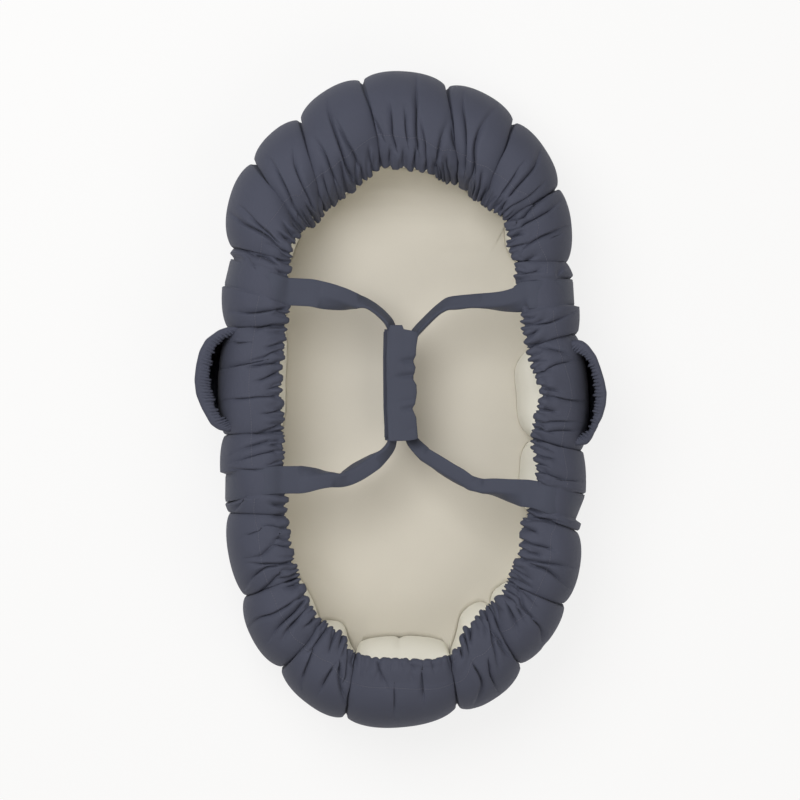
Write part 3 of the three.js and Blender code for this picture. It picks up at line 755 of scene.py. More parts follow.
def pinch(side):
    """How far the cloth beside a valley is drawn towards it"""
    return -PINCH * side / PINCH_REACH * np.exp(1 - np.abs(side) / PINCH_REACH)


def fold(side, share, steep_side, depth, fade):
    """Depth of a fold, cubed, and how far the cloth beside it is drawn in.

    It is steep on one side and gentle on the other, narrow at the rim and wide at its end.
    """
    width = np.where(side * steep_side > 0, mix(*STEEP_SIDE, share), mix(*GENTLE_SIDE, share))
    return (depth * fade * valley(side, width)) ** 3, fade * pinch(side)


def photographed_folds(plan):
    """The main folds' depth, cubed, and how far they draw the cloth in"""
    hollows, drawn = np.zeros(plan.shape[:2]), np.zeros(plan.shape[:2])
    for n, (depth, *pixels) in enumerate(FOLDS):
        line = softened(respaced(photo_places(pixels, FOLDS_HEIGHT), FOLD_POINTS), 2)
        low, high = line.min(axis=0) - 2 * GENTLE_SIDE[1], line.max(axis=0) + 2 * GENTLE_SIDE[1]
        near = np.all((plan > low) & (plan < high), axis=2)
        here = plan[near]
        gap, side, share = np.ones(len(here)), np.zeros(len(here)), np.zeros(len(here))
        for k, (a, b) in enumerate(zip(line[:-1], line[1:])):
            way = b - a
            t = np.clip((here - a) @ way / (way @ way), 0, 1)
            away = here - a - t[:, None] * way
            distance = np.linalg.norm(away, axis=1)
            nearer = distance < gap
            gap = np.where(nearer, distance, gap)
            side = np.where(nearer, np.sign(away[:, 0] * way[1] - away[:, 1] * way[0]), side)
            share = np.where(nearer, (k + t) / (FOLD_POINTS - 1), share)
        fade = 1 - FADE_SHARE * smooth(share, FADE_START, 1)
        hollow, sideways = fold(side * gap, share, 1 if n % 3 else -1, depth * MM, fade)
        hollows[near] += hollow
        drawn[near] += sideways
    return hollows, drawn


def other_folds(spread, seed):
    """The same for random folds between them. Spread is the cloth's width over that at the rim."""
    random = np.random.default_rng(seed)
    hollows, drawn = np.zeros(from_rim.shape), np.zeros(from_rim.shape)
    for place in valley_places(rim_length, FOLD_SPACING, seed):
        kind = LONG_FOLDS if random.uniform() < LONG_SHARE else SHORT_FOLDS
        reach, depth = (random.uniform(*limits) for limits in kind)
        steep_side = 1 if random.uniform() < CLOCKWISE_SHARE else -1
        line = place + random.normal() * FOLD_SLANT * from_rim
        line = line + random.normal() * FOLD_CURVE * from_rim**2
        side = (along_rim[:, None] - line + rim_length / 2) % rim_length - rim_length / 2
        fade = 1 - smooth(from_rim, reach * 0.5, reach)
        share = np.clip(from_rim / reach, 0, 1)
        hollow, sideways = fold(side * spread, share, steep_side, depth, fade)
        hollows += hollow
        drawn += sideways
    return hollows, drawn


ring_lobes, ring_shares = ring_columns()
ring = stations(ring_lobes, ring_shares)
rim_line = round_rim(ring, np.array([[90 * DEGREE]]), RIM_RADIUS)[:, 0]
rim_steps = np.linalg.norm(np.roll(rim_line, -1, axis=0) - rim_line, axis=1)
rim_length = rim_steps.sum()
along_rim = np.concatenate([[0], np.cumsum(rim_steps)[:-1]])
smooth_cover, cloth_room, cloth_stand = np.split(cover_base(ring, rim_line), (3, 4), axis=2)
cloth_room, cloth_stand = cloth_room[..., 0], cloth_stand[..., 0]
# Seen from above, which is how the photograph shows the folds
from_rim = np.linalg.norm(smooth_cover[..., :2] - rim_line[:, None, :2], axis=2)
calm = np.where(ring_lobes == FOOT_LOBE, FOOT_CALM, 1.0)[:, None]
calm = softened_ring(calm, np.ones(CALM_COLUMNS))
lobe_chords = CHORDS[ring_lobes]
beside_seam = (np.where(ring_shares < 0.5, ring_shares, ring_shares - 1) * lobe_chords)[:, None]


def rim_wander(spacing, seed):
    return wander(along_rim, rim_length, spacing, seed)[:, None]


def bend_seams(points):
    """The seams and what lies between them swing a little to both sides on their way to the rim"""
    swing = smooth(from_rim, *SEAM_BEND_START) * (1 - smooth(from_rim, *SEAM_BEND_END))
    swing = swing * rim_wander(SEAM_BEND_LENGTH, seed=13) * SEAM_BEND
    return points + sideways_of(points) * swing[..., None]


smooth_cover = bend_seams(smooth_cover)
cover_sideways = sideways_of(smooth_cover)
cover_normals = unit(np.cross(np.gradient(smooth_cover, axis=1), cover_sideways))
row_places = column_places(smooth_cover)
column_lengths = row_places[:, -1]


def from_straps():
    """How far points are from the middle of the nearest strap, and how near it is to the rim"""
    half_way, nearly_there = 0.5 * column_lengths.mean(), 0.9 * column_lengths.mean()
    to_rim = smooth(row_places, half_way, nearly_there)
    nearest = np.ones(row_places.shape)
    for leg in LEFT_LEGS + RIGHT_LEGS:
        middle = mix(leg.outer, leg.inner, to_rim)
        gap = np.abs(ring_shares[:, None] - middle) * lobe_chords[:, None]
        nearest = np.minimum(nearest, np.where((ring_lobes == leg.lobe)[:, None], gap, 1.0))
    return nearest, to_rim


def room_for_cloth():
    """How low and how high the cover can lie over its smooth shape"""
    floor = CLOTH_GAP - cloth_room
    gap, to_rim = from_straps()
    under = 1 - smooth(gap, *BESIDE_STRAP)
    held = mix(*STRAP_LEVEL, to_rim) - STRAP_GAP - cloth_stand
    free = mix(NUB_HEIGHT, RIDGE_HEIGHT, smooth(from_rim, *NUB_END))
    ceiling = np.minimum(free, mix(RIDGE_HEIGHT, held, under))
    return floor, np.maximum(ceiling, floor)


def soften_cloth(heights, floor, ceiling):
    """Evens the folds out along their length"""
    for _ in range(SOFTEN_ROUNDS):
        along = (heights[:, 2:] + heights[:, :-2]) / 2 - heights[:, 1:-1]
        heights[:, 1:-1] += along * SOFTEN_SHARE
        heights = np.clip(heights, floor, ceiling)
    return heights


def pleats(spacing, slant, seed):
    places = along_rim[:, None] + slant * from_rim
    return beads(places, rim_length, spacing, seed) - BEAD_MIDDLE


def gather_heights():
    """Tight pleats at the rim whose lines wander as they leave it, and looser ones across them"""
    tight_slant = rim_wander(GATHER_LENGTH, seed=51) * GATHER_SLANT
    loose_slant = rim_wander(CROSSING_LENGTH, seed=91) * 2 * GATHER_SLANT
    tight = pleats(GATHER_SPACING, tight_slant, seed=21)
    loose = pleats(CROSSING_SPACING, loose_slant, seed=71) * smooth(from_rim, *CROSSING_START)
    fade = 1 - smooth(from_rim, GATHER_REACH * 0.35, GATHER_REACH)
    return (tight * GATHER_DEPTH + loose * CROSSING_DEPTH) * fade


def cover_surface():
    """The cover's points, folded, gathered and held down by the seams and straps"""
    widths = np.linalg.norm(np.roll(smooth_cover, -1, axis=0) - smooth_cover, axis=2)
    hollows, drawn = other_folds(widths / rim_steps[:, None], seed=5)
    off_seam = smooth(np.abs(beside_seam), *BESIDE_SEAM)
    clear = mix(1, off_seam, smooth(from_rim, *SEAM_CALM_START)) * calm
    main_hollows, main_drawn = photographed_folds(smooth_cover[..., :2])
    over = smooth(smooth_cover[..., 2], *MAIN_FOLD_START)
    on_top = smooth(smooth_cover[..., 2], *TOP_START)
    seams = mix(*SEAM_DEPTH, on_top) * valley(beside_seam, SEAM_HALF_WIDTH)
    hollows = hollows * clear**3 + main_hollows * over + seams**3
    drawn = drawn * clear + main_drawn * over + on_top * pinch(beside_seam)
    ridge = FOLD_RIDGE * (1 - smooth(from_rim, *RIDGE_END))
    heights = ridge * calm - np.cbrt(hollows) + gather_heights() * calm
    heights = soften_cloth(heights, *room_for_cloth())
    lean = rim_wander(LEAN_LENGTH, seed=11) * FOLD_LEAN * np.maximum(heights, 0)
    lean = lean + np.clip(drawn, -PINCH, PINCH) * smooth(from_rim, *PINCH_START)
    return smooth_cover + cover_normals * heights[..., None] + cover_sideways * lean[..., None]


cover_points = cover_surface()


def make_cover():
    for name, (first, count) in PANELS.items():
        inside = (ring_lobes - first) % LOBES < count
        start = int(np.argmax((ring_lobes == first) & (ring_shares == 0)))
        columns = (start + np.arange(inside.sum() + 1)) % len(ring_lobes)
        panel = sheet_piece(f"{name}_cover_panel", cover_points[columns], materials.slate)
        finish_piece(panel, "root", [f"cover_{name}_panel"])


STITCH_FROM_RIM = 36 * MM
STITCH_SPACING = 3.4 * MM
STITCH_LENGTH = 2.3 * MM
STITCH_RADIUS = 0.45 * MM
STITCH_SECTION = np.array([(-1, -0.3), (-0.5, 0.8), (0.5, 0.8), (1, -0.3)]) * STITCH_RADIUS
STITCH_SIZES = ((0, 0.5), (0.25, 1), (0.75, 1), (1, 0.5))  # places along it, and its size there


def make_stitching():
    """The stitches that hold the casing for the elastic, one by one along the rim"""
    columns = np.arange(len(ring_lobes))
    first = COVER_ROWS // 2
    nearest = first + np.argmin(np.abs(from_rim[:, first:] - STITCH_FROM_RIM), axis=1)
    here, beside = from_rim[columns, nearest], from_rim[columns, nearest + 1]
    share = np.clip((here - STITCH_FROM_RIM) / np.maximum(here - beside, 1e-6), -1, 1)[:, None]
    line = mix(cover_points[columns, nearest], cover_points[columns, nearest + 1], share)
    line = np.concatenate([line, line[:1]])
    places = line_places(line)
    gap = from_straps()[0][columns, nearest]
    starts = np.arange(0, places[-1] - STITCH_SPACING, STITCH_SPACING)
    starts = starts[np.interp(starts, places[:-1], gap) > STRAP_HALF_WIDTH + STITCH_SPACING]
    stitches = zip(spaced(line, places, starts), spaced(line, places, starts + STITCH_LENGTH))
    faces, points = [], []
    for n, (a, b) in enumerate(stitches):
        side = unit(np.cross(b - a, (0, 0, 1)))
        up = unit(np.cross(side, b - a))
        section_points = STITCH_SECTION[:, :1] * side + STITCH_SECTION[:, 1:] * up
        for share, size in STITCH_SIZES:
            points.append(mix(a, b, share) + section_points * size)
        stitch_faces = grid_faces(4, 4, closed_rows=True) + [[0, 1, 2, 3], [15, 14, 13, 12]]
        faces += [[16 * n + k for k in face] for face in stitch_faces]
    points = np.array(points)
    piece = add_piece("rim_stitching", points, faces, materials.thread, points[..., :2])
    finish_piece(piece, "root")


RIM_CORNERS = 20


def make_rim():
    """The casing under the cover's rolled edge, and the elastic in it"""
    for name, radius, material, slot, node in (
        ("gathered_rim_casing", CASING_RADIUS, materials.slate, "slate_cotton", "rim_casing"),
        ("rim_elastic_band", ELASTIC_RADIUS, materials.elastic, "elastic_band", "rim_elastic"),
    ):
        rings = round_rim(ring, ring_angles(RIM_CORNERS), radius)
        finish_piece(tube_piece(name, rings, material, closed=True), "root", [node])


# Bumper lobes


LOBE_COLUMNS = 40
LOBE_ROWS = 72
LOBE_SHARES = (0.002, 0.998)  # where a lobe starts and ends, just off its channels
RIM_TUCK = 3 * MM  # how far under the rim the lobes stay that don't show
BULGE_START = 20 * MM  # how far before the rim
BULGE_HEIGHT = 70 * MM
BULGE_HALF_HEIGHT = 62 * MM
BULGE_POWERS = (0.4, 0.7)  # how flat the foot lobe and the other lobes bulge
# The foot lobe's hollow: its depth and half width as shares, and where it is along the lobe
FOOT_DIMPLE = (0.13, 0.03, 0.53)


def held_by_rim(at, inset, height):
    """The lobes' inner side, held back at the rim and bulging in below it"""
    limit = (at.rim - RIM_TUCK)[:, None]
    at_foot = at.lobes == FOOT_LOBE
    depth, half_width, place = FOOT_DIMPLE
    halves = 1 - np.where(at_foot, depth * np.exp(-np.abs(at.shares - place) / half_width), 0)
    bulge = (SHOWING[at.lobes] + RIM_TUCK) * at.fullness ** np.where(at_foot, *BULGE_POWERS)
    showing = SHOWING[at.lobes] > 0
    bulge = np.where(showing, bulge * halves - at.wave * at.fullness, bulge)[:, None]
    profile = np.sqrt(np.clip(1 - ((height - BULGE_HEIGHT) / BULGE_HALF_HEIGHT) ** 2, 0, 1))
    return np.minimum(inset, limit) + bulge * profile * smooth(inset, limit - BULGE_START, limit)


def make_lobes():
    shares = np.linspace(*LOBE_SHARES, LOBE_COLUMNS)
    angles = np.linspace(FOOT_ANGLE, INNER_FOOT_ANGLE, LOBE_ROWS)[None, :]
    for lobe in range(LOBES):
        at = stations(np.full(LOBE_COLUMNS, lobe), shares, stuffed=True)
        inset, height = section(at, angles, -lobe_ease(angles, rim_angles(at)[:, None]))
        points = in_space(at, held_by_rim(at, inset, height), height)
        piece = tube_piece(f"stuffed_lobe_{lobe + 1:02d}", points, materials.cream)
        finish_piece(piece, "root", [f"bumper_channel_{lobe + 1:02d}"])


# Mattress


MATTRESS_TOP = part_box("mattress_cover")[1].z
MATTRESS_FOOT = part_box("mattress_cover")[0].z
MATTRESS_CROWN = 7 * MM
MATTRESS_HOLLOW = 6 * MM  # where it is lain on
HOLLOW_REACH = 0.6  # as a share of the way to the edge
MATTRESS_EDGE = 7 * MM  # rounding of the upper edge
MATTRESS_LOWER_EDGE = 5 * MM
MATTRESS_EASE = 2.0 * MM  # how far it presses into the lobes
MATTRESS_LOBE_COLUMNS = 14
MATTRESS_TOP_ROWS = 46
MATTRESS_EDGE_ROWS = 17
# Shares of the way to the edge: of the rings below, of the first and last one on top, and those
# between which the outline takes on the lobes' shape
BELOW_SHARES = (0.6, 0.985)
TOP_SHARES = (0.93, 0.02)
LOBED_SHARES = (0.6, 0.97)
COVER_THICKNESS = 2.2 * MM
# Soft creases across the mattress in pixels: the two ends, the half width and the depth
MATTRESS_CREASES = (
    ((350, 180), (470, 176), 9 * MM, 2.6 * MM),
    ((318, 200), (420, 198), 7 * MM, 2.4 * MM),
    ((340, 216), (505, 214), 3.8 * MM, 1.7 * MM),
    ((425, 254), (505, 250), 5 * MM, 1.3 * MM),
    ((300, 560), (350, 600), 8 * MM, 1.2 * MM),
    ((330, 640), (480, 636), 34 * MM, 7 * MM),
)


def crease_depth(plan):
    depth = np.zeros(plan.shape[:-1])
    for start, end, half_width, deep in MATTRESS_CREASES:
        a, b = photo_places((start, end), MATTRESS_TOP)
        line = b - a
        share = (plan - a) @ line / (line @ line)
        gap = np.linalg.norm(plan - a - np.clip(share, 0, 1)[..., None] * line, axis=-1)
        ends = smooth(share, -0.1, 0.25) * (1 - smooth(share, 0.75, 1.1))
        depth += deep * ends * np.exp(-((gap / half_width) ** 2))
    return depth


def mattress_profile(foot, top, rounding, size):
    """Shares of the way to the edge, and heights, from the middle below to the middle on top"""
    profile = [(share, foot) for share in BELOW_SHARES]
    for turn in np.linspace(-90, 90, MATTRESS_EDGE_ROWS) * DEGREE:
        radius = rounding if turn > 0 else MATTRESS_LOWER_EDGE
        level = top - rounding if turn > 0 else foot + radius
        profile.append((1 - radius * (1 - np.cos(turn)) / size, level + radius * np.sin(turn)))
    return profile + [(share, top) for share in np.linspace(*TOP_SHARES, MATTRESS_TOP_ROWS)]


def mattress_columns(inset):
    lobes = np.repeat(np.arange(LOBES), MATTRESS_LOBE_COLUMNS)
    shares = np.tile(np.arange(MATTRESS_LOBE_COLUMNS) / MATTRESS_LOBE_COLUMNS, LOBES)
    at = stations(lobes, shares, stuffed=True)
    across = (2 * at.half + at.in_swell)[:, None]
    edge = held_by_rim(at, across, np.full_like(across, MATTRESS_TOP)) - MATTRESS_EASE + inset
    outline = in_space(at, edge, edge)[:, 0, :2]
    middle = outline.mean(axis=0)
    even = softened_ring(outline, np.hanning(4 * MATTRESS_LOBE_COLUMNS + 1))
    foot, top = MATTRESS_FOOT + inset, MATTRESS_TOP - MATTRESS_CROWN - inset
    size = np.linalg.norm(outline - middle, axis=1).mean()
    rings = []
    for share, level in mattress_profile(foot, top, MATTRESS_EDGE - inset, size):
        plan = middle + (mix(even, outline, smooth(share, *LOBED_SHARES)) - middle) * share
        height = np.full(len(outline), level)
        if level > (foot + top) / 2:
            height = height + MATTRESS_CROWN * (1 - share**2) - crease_depth(plan)
            height = height - MATTRESS_HOLLOW * np.exp(-((share / HOLLOW_REACH) ** 2))
        rings.append(joined(plan, height))
    return np.array(rings).transpose(1, 0, 2)


def make_mattress():
    # Its cover is the lobes' cream cotton with painted shade: its colour is a darker, shaded copy
    for name, inset, material, slot, node in (
        ("mattress", 0, materials.mattress, "cream_cotton", "mattress_cover"),
        ("mattress_foam", COVER_THICKNESS, materials.wadding, "wadding", "mattress_core"),
    ):
        piece = capped_piece(name, mattress_columns(inset), material)
        finish_piece(piece, "root", [node])


# Base cloth


BASE_SAMPLES = 7  # round its edge


def make_base():
    inset, _ = section(ring, np.full((len(ring_lobes), 1), FOOT_ANGLE), COVER_OUT)
    low, high = (corner.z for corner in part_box("cover_base"))
    half = (high - low) / 2
    turns = np.linspace(-90, 90, BASE_SAMPLES)[None, :] * DEGREE
    levels = np.repeat(low + half + half * np.sin(turns), len(ring_lobes), axis=0)
    points = in_space(ring, inset + half - half * np.cos(turns), levels)
    piece = capped_piece("base_cloth", points, materials.slate)
    finish_piece(piece, "root", ["cover_base"])


# Side pockets


POCKET_FOOT_ANGLE = -40 * DEGREE
POCKET_TOP_ANGLE = 40 * DEGREE
POCKET_DEPTH = 26 * MM
POUCH_OUT = 3.0 * MM  # over the bumper's section where it is sewn on
POUCH_HALF_SHARE = 0.48  # how far it reaches to both sides of its lobe's middle
POUCH_ROUNDNESS = 0.7  # the power that rounds it off towards its ends
POUCH_LEAN = 1.5  # the power with which it leans out to the mouth
POUCH_GATHERED = (0.55, 1.0)  # shares of its height between which its gathers start
POUCH_GATHERS = (5 * MM, 9 * MM)
POUCH_GATHER_DEPTH = 1.8 * MM
POUCH_HANG = 0.6 * MM  # the slow waves in its cloth
HANG_TURNS = (17, 9)  # their angles along the mouth and up the pouch, in radians
HANG_START = 2
POCKET_COLUMNS = 200
POCKET_ROWS = 50
MOUTH_EASE = 1.02
MOUTH_HEIGHT = 0.14
HEM_CORNERS = 30
HEM_HALF_HEIGHT = 5.5 * MM
HEM_LIFT = 4.5 * MM  # over the pouch's mouth
HEM_SQUARENESS = 0.8
RUCHE_SPACING = (3.4 * MM, 5.2 * MM)
RUCHE_DEPTH = 5.6 * MM
RUCHE_ZIGZAG = 1.6 * MM
RUCHE_ZIGZAGS = 2.2  # round the hem
RUCHED_SIDE = (0.35, -0.35)  # between which the hem gets gathered, from its outer side at 1 to -1
SCRUNCH = 0.9  # how much deeper the ruches get at its ends, as a share
HEM_END_SHARE = 0.5  # of its size, at its ends
HEM_SINK = 5 * MM  # how far its ends go down between the lobes
# How far from the hem's ends it sinks and narrows, and the pouch and the ruches change
SINK_REACH = 16 * MM
TAPER_REACH = 14 * MM
PUFF_REACH = 10 * MM
SCRUNCH_REACH = (4 * MM, 16 * MM)
ELASTIC_TUCK = 6  # columns that the elastic ends short of the hem
# The hem's outer and inner edge in pixels, in the direction in which the channels are counted
HEMS = {
    "left": (
        ((240, 432), (229, 432), (219, 430), (211, 424.5), (201.8, 408), (196.4, 394.6),
         (194.7, 380), (196.4, 365), (199.7, 351), (206, 339.5), (219, 330), (228, 327),
         (237, 326.6), (248, 327)),
        ((250, 426), (242, 424.5), (232.4, 422.5), (223.3, 417.8), (216.7, 408.7),
         (212.5, 394.6), (210, 383), (210.5, 368), (212.5, 355), (219, 343), (227.5, 336.6),
         (236, 334), (246, 333), (254, 333)),
    ),
    "right": (
        ((562, 340), (573, 339.5), (582, 340.5), (588, 345), (596, 356), (600, 367), (604, 380),
         (606.5, 393), (605.5, 405), (602, 417.5), (596, 428), (592, 438), (587, 444.5),
         (575, 446), (563, 446)),
        ((555, 350), (563, 351), (576, 353.5), (582.5, 356.5), (588, 362.5), (591.5, 371.5),
         (593.5, 380), (594.6, 391), (594.3, 404), (592, 418), (588.8, 429.4), (583, 434.5),
         (577, 436.5), (565, 437), (557, 437)),
    ),
}


def photo_line(pixels):
    """Evenly spaced plan places along a smoothed line of pixels at a pocket's mouth"""
    line = respaced(photo_places(pixels, MOUTH_HEIGHT), 4 * POCKET_COLUMNS)
    return respaced(softened(line, POCKET_COLUMNS // 8), POCKET_COLUMNS)


def pocket_mouth(side):
    outer, inner = (photo_line(edge) for edge in HEMS[side])
    middle = (outer + inner) / 2
    places = line_places(middle)
    return SimpleNamespace(
        middle=middle, across=unit(outer - inner),
        half_width=np.linalg.norm(outer - inner, axis=1)[:, None] / 2,
        places=places, length=float(places[-1]) * MOUTH_EASE,
        from_end=np.minimum(places, places[-1] - places)[:, None],
    )


def round_mouth(mouth, sideways, height):
    """Points at distances across the hem's middle line, and at heights"""
    return joined(mouth.middle[:, None] + mouth.across[:, None] * sideways[..., None], height)


def make_pouch(side, lobe, mouth):
    """Hangs the pouch from the hem's middle, and returns the height of its upper edge"""
    shares = np.linspace(0.5 - POUCH_HALF_SHARE, 0.5 + POUCH_HALF_SHARE, POCKET_COLUMNS)
    at = stations(np.full(POCKET_COLUMNS, lobe), shares)
    climb = np.linspace(0, 1, POCKET_ROWS)[None, :].repeat(POCKET_COLUMNS, 0)
    inset, height = section(at, mix(POCKET_FOOT_ANGLE, POCKET_TOP_ANGLE, climb), POUCH_OUT)
    off_middle = np.clip(np.abs(shares - 0.5) / POUCH_HALF_SHARE, 0, 1)
    ends = (1 - off_middle**FULLNESS_POWER) ** POUCH_ROUNDNESS
    points = in_space(at, inset - POCKET_DEPTH * ends[:, None] * np.sqrt(climb), height)
    points[..., :2] += (mouth.middle - points[:, -1, :2])[:, None, :] * climb[..., None] ** POUCH_LEAN
    gathers = beads(mouth.places, mouth.length, POUCH_GATHERS, seed=40 + lobe)[:, None]
    gathers = gathers * smooth(climb, *POUCH_GATHERED)
    along, up = HANG_TURNS
    hangs = np.sin(mouth.places / mouth.length * along)[:, None] * np.sin(climb * up + HANG_START)
    hangs = hangs * (1 - climb)
    puff = gathers * POUCH_GATHER_DEPTH + hangs * POUCH_HANG
    puff = puff * smooth(mouth.from_end, 0, PUFF_REACH)
    points[..., :2] += mouth.across[:, None, :] * puff[..., None]
    pouch = sheet_piece(f"{side}_pocket_pouch", points, materials.slate)
    finish_piece(pouch, "root", [f"{side}_pocket"])
    return height[:, -1:]


def make_hem(side, lobe, mouth, level):
    """The hem, smooth outside and finely gathered on its inner half, and the elastic in it"""
    corners = ring_angles(HEM_CORNERS)
    across, upward = np.cos(corners), np.sin(corners)
    level = level + HEM_LIFT - HEM_SINK * (1 - smooth(mouth.from_end, 0, SINK_REACH))
    zigzag = mouth.places[:, None] + RUCHE_ZIGZAG * np.abs(((corners * RUCHE_ZIGZAGS / np.pi) % 2) - 1)
    ruche = beads(zigzag, mouth.length, RUCHE_SPACING, seed=60 + lobe) - 0.5
    scrunch = 1 + SCRUNCH * (1 - smooth(mouth.from_end, *SCRUNCH_REACH))
    swell = ruche * smooth(across, *RUCHED_SIDE) * RUCHE_DEPTH * scrunch
    taper = mix(HEM_END_SHARE, 1, smooth(mouth.from_end, 0, TAPER_REACH))
    width, height = ((size * signed_power(part, HEM_SQUARENESS) + swell * part) * taper
                     for size, part in ((mouth.half_width, across), (HEM_HALF_HEIGHT, upward)))
    rings = round_mouth(mouth, width, level + height)
    hem = tube_piece(f"{side}_pocket_ruched_hem", rings[:, ::-1], materials.slate)
    finish_piece(hem, "root", [f"{side}_pocket_hem"])
    rings = round_mouth(mouth, ELASTIC_RADIUS * across, level + ELASTIC_RADIUS * upward)
    rings = rings[ELASTIC_TUCK:-ELASTIC_TUCK, ::-1]
    band = tube_piece(f"{side}_pocket_elastic_band", rings, materials.elastic)
    finish_piece(band, "root", [f"{side}_pocket_elastic"])


# Straps


LEG_SAMPLES = 90
UPWARD_STEP = 5 * MM  # between the two places that give its upward direction
NARROWEST_SHARE = 0.35  # of its half width, seen from above
HANG_LIMIT = -0.15  # the cosine of the most that the hidden half is folded down
EDGE_POWER = 14  # how suddenly the strap thins at its edges
EDGE_THINNING = 0.55
# The seam along each edge: its place across the strap, its half width, and what it leaves
EDGE_SEAM = (0.83, 0.03, 0.7)


def leg_over_bumper(leg):
    """Centres, upward directions and widths of a leg from the base seam to the rim"""
    end = rim_angles(stations(np.array([leg.lobe]), np.array([leg.inner])))[0]
    angles = np.linspace(FOOT_ANGLE, end, LEG_SAMPLES)
    shares = mix(leg.outer, leg.inner, smooth(angles, 10 * DEGREE, end))
    at = stations(np.full(LEG_SAMPLES, leg.lobe), shares)
    level = mix(*STRAP_LEVEL, smooth(angles, 70 * DEGREE, end))[:, None]
    centre, outer = (
        in_space(at, *section(at, angles[:, None], out))[:, 0]
        for out in (level, level + UPWARD_STEP))
    centre[0, 2] = COVER_FOOT
    return centre, unit(outer - centre), np.full(LEG_SAMPLES, 2 * STRAP_HALF_WIDTH)


def free_leg(leg, lift, run):
    """The same from the lifting line to the grip"""
    plan = photo_places([key[:2] for key in leg.free], RIM_HEIGHT)
    share = (plan[:, 0] - lift[0]) / (run[0] - lift[0])
    centre = joined(plan, mix(lift[2] - STRAP_THICKNESS / 2, run[2], share))
    across, rise = run[0] - lift[0], run[2] - lift[2]
    tilt = unit(np.array([-rise * np.sign(across), 0, abs(across)]))
    widths = np.array([key[2] for key in leg.free]) * PIXEL * WIDTH_SHARE
    return centre, np.repeat(tilt[None, :], len(plan), axis=0), widths


def strap_path(legs, lift, run, fold_sides):
    """Centres, upward directions, and widths with the side of the fold, from seam to seam"""
    halves = []
    for leg, fold_side, step in zip(legs, fold_sides, (1, -1)):
        parts = zip(leg_over_bumper(leg), free_leg(leg, lift, run))
        centre, upward, width = (np.concatenate(pair) for pair in parts)
        in_grip = (mix(centre[-1, 0], run[0], RUN_SHARE), centre[-1, 1] + step * RUN_START, run[2])
        width = np.append(width, RUN_WIDTH)
        facts = np.stack([width, np.full(len(width), fold_side)], axis=1)
        halves.append((np.vstack([centre, in_grip]), np.vstack([upward, (0, 0, 1)]), facts))
    return [np.concatenate([lower, upper[::-1]]) for lower, upper in zip(*halves)]


def strap_section(width, fold_side):
    """The strap's section seen along it, turned or folded to look that wide from above.

    The fold is on one side, and the hidden half hangs under the other.
    """
    c = np.linspace(-STRAP_HALF_WIDTH, STRAP_HALF_WIDTH, STRAP_SAMPLES)
    wide = np.clip(width / STRAP_HALF_WIDTH, NARROWEST_SHARE, 2)
    hang = np.arccos(np.clip(wide - 1, HANG_LIMIT, 1))  # how far the hidden half is folded down
    turn = np.arccos(np.clip(wide, 0, 1))  # how far the half on top is turned
    hinge = np.where(wide > 1, STRAP_HALF_WIDTH - width / 2, width / 2)
    across = np.where(c < 0, hinge + c * np.cos(turn), hinge + c * np.cos(hang))
    rise = np.where(c < 0, c * np.sin(turn), -c * np.sin(hang))
    points = softened(np.stack([across, rise - rise.mean()], axis=1), 2)
    return points * [fold_side, 1]


def strap_rings(centre, upward, facts):
    """The strap's middle line, and its sections along it"""
    places = line_places(centre)
    wanted = np.arange(0, places[-1], STRAP_STEP)
    line, upward, facts = (
        softened(spaced(values, places, wanted), reach)
        for values, reach in ((centre, 4), (upward, 6), (facts, 4)))
    tangent = unit(np.gradient(line, axis=0))
    side = unit(np.cross(upward, tangent))
    normal = unit(np.cross(tangent, side))
    place = np.abs(np.linspace(-1, 1, STRAP_SAMPLES))
    seam_place, seam_half_width, seam_share = EDGE_SEAM
    share = 1 - EDGE_THINNING * place**EDGE_POWER
    share = share * np.where(np.abs(place - seam_place) < seam_half_width, seam_share, 1.0)
    rings = []
    for n, (width, nearer_side) in enumerate(facts):
        fold_side = 1 if nearer_side > 0 else -1
        middle = strap_section(width, fold_side)
        slope = np.gradient(middle, axis=0)
        outwards = unit(np.stack([-slope[:, 1], slope[:, 0]], axis=1)) * fold_side
        top = middle + outwards * STRAP_THICKNESS * share[:, None]
        corners = np.concatenate([top, middle[::-1]])[::fold_side]
        rings.append(line[n] + corners[:, :1] * side[n] + corners[:, 1:] * normal[n])
    return line, np.array(rings)


def make_strap(name, legs, lift, run, fold_sides):
    line, rings = strap_rings(*strap_path(legs, lift, run, fold_sides))
    piece = tube_piece(f"{name}_carry_strap", rings, materials.strap)
    nodes = [f"{name}_strap", f"{name}_strap_tail_upper", f"{name}_strap_tail_lower"]
    bend_piece(piece, nodes)


# Grip


GRIP_LOW, GRIP_HIGH = (np.array(corner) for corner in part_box("grip_wrap"))
FLAP_LOW, FLAP_HIGH = (np.array(corner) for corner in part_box("grip_flap"))
GRIP_WALL = 2.5 * MM
GRIP_LEDGE = 17 * MM
GRIP_ROUNDING = 4 * MM
STRIP_SEAT = 0.3 * MM  # from the loop strip down to the ledge under it
FLAP_LIP = 4.5 * MM  # from the sleeve's left side to the flap's
FLAP_SWELL = 1.5 * MM
GRIP_COUNT = 100
SLEEVE_POINTS = 160
FLAP_POINTS = 76
FLAP_SAMPLES = 400
FLAP_ROUNDNESS = (0.16, 0.7)  # the powers of its outline across and upwards
CORNER_SAMPLES = 6
CORNER_LIMIT = 2.2  # a side's length over the most that its corners take of it
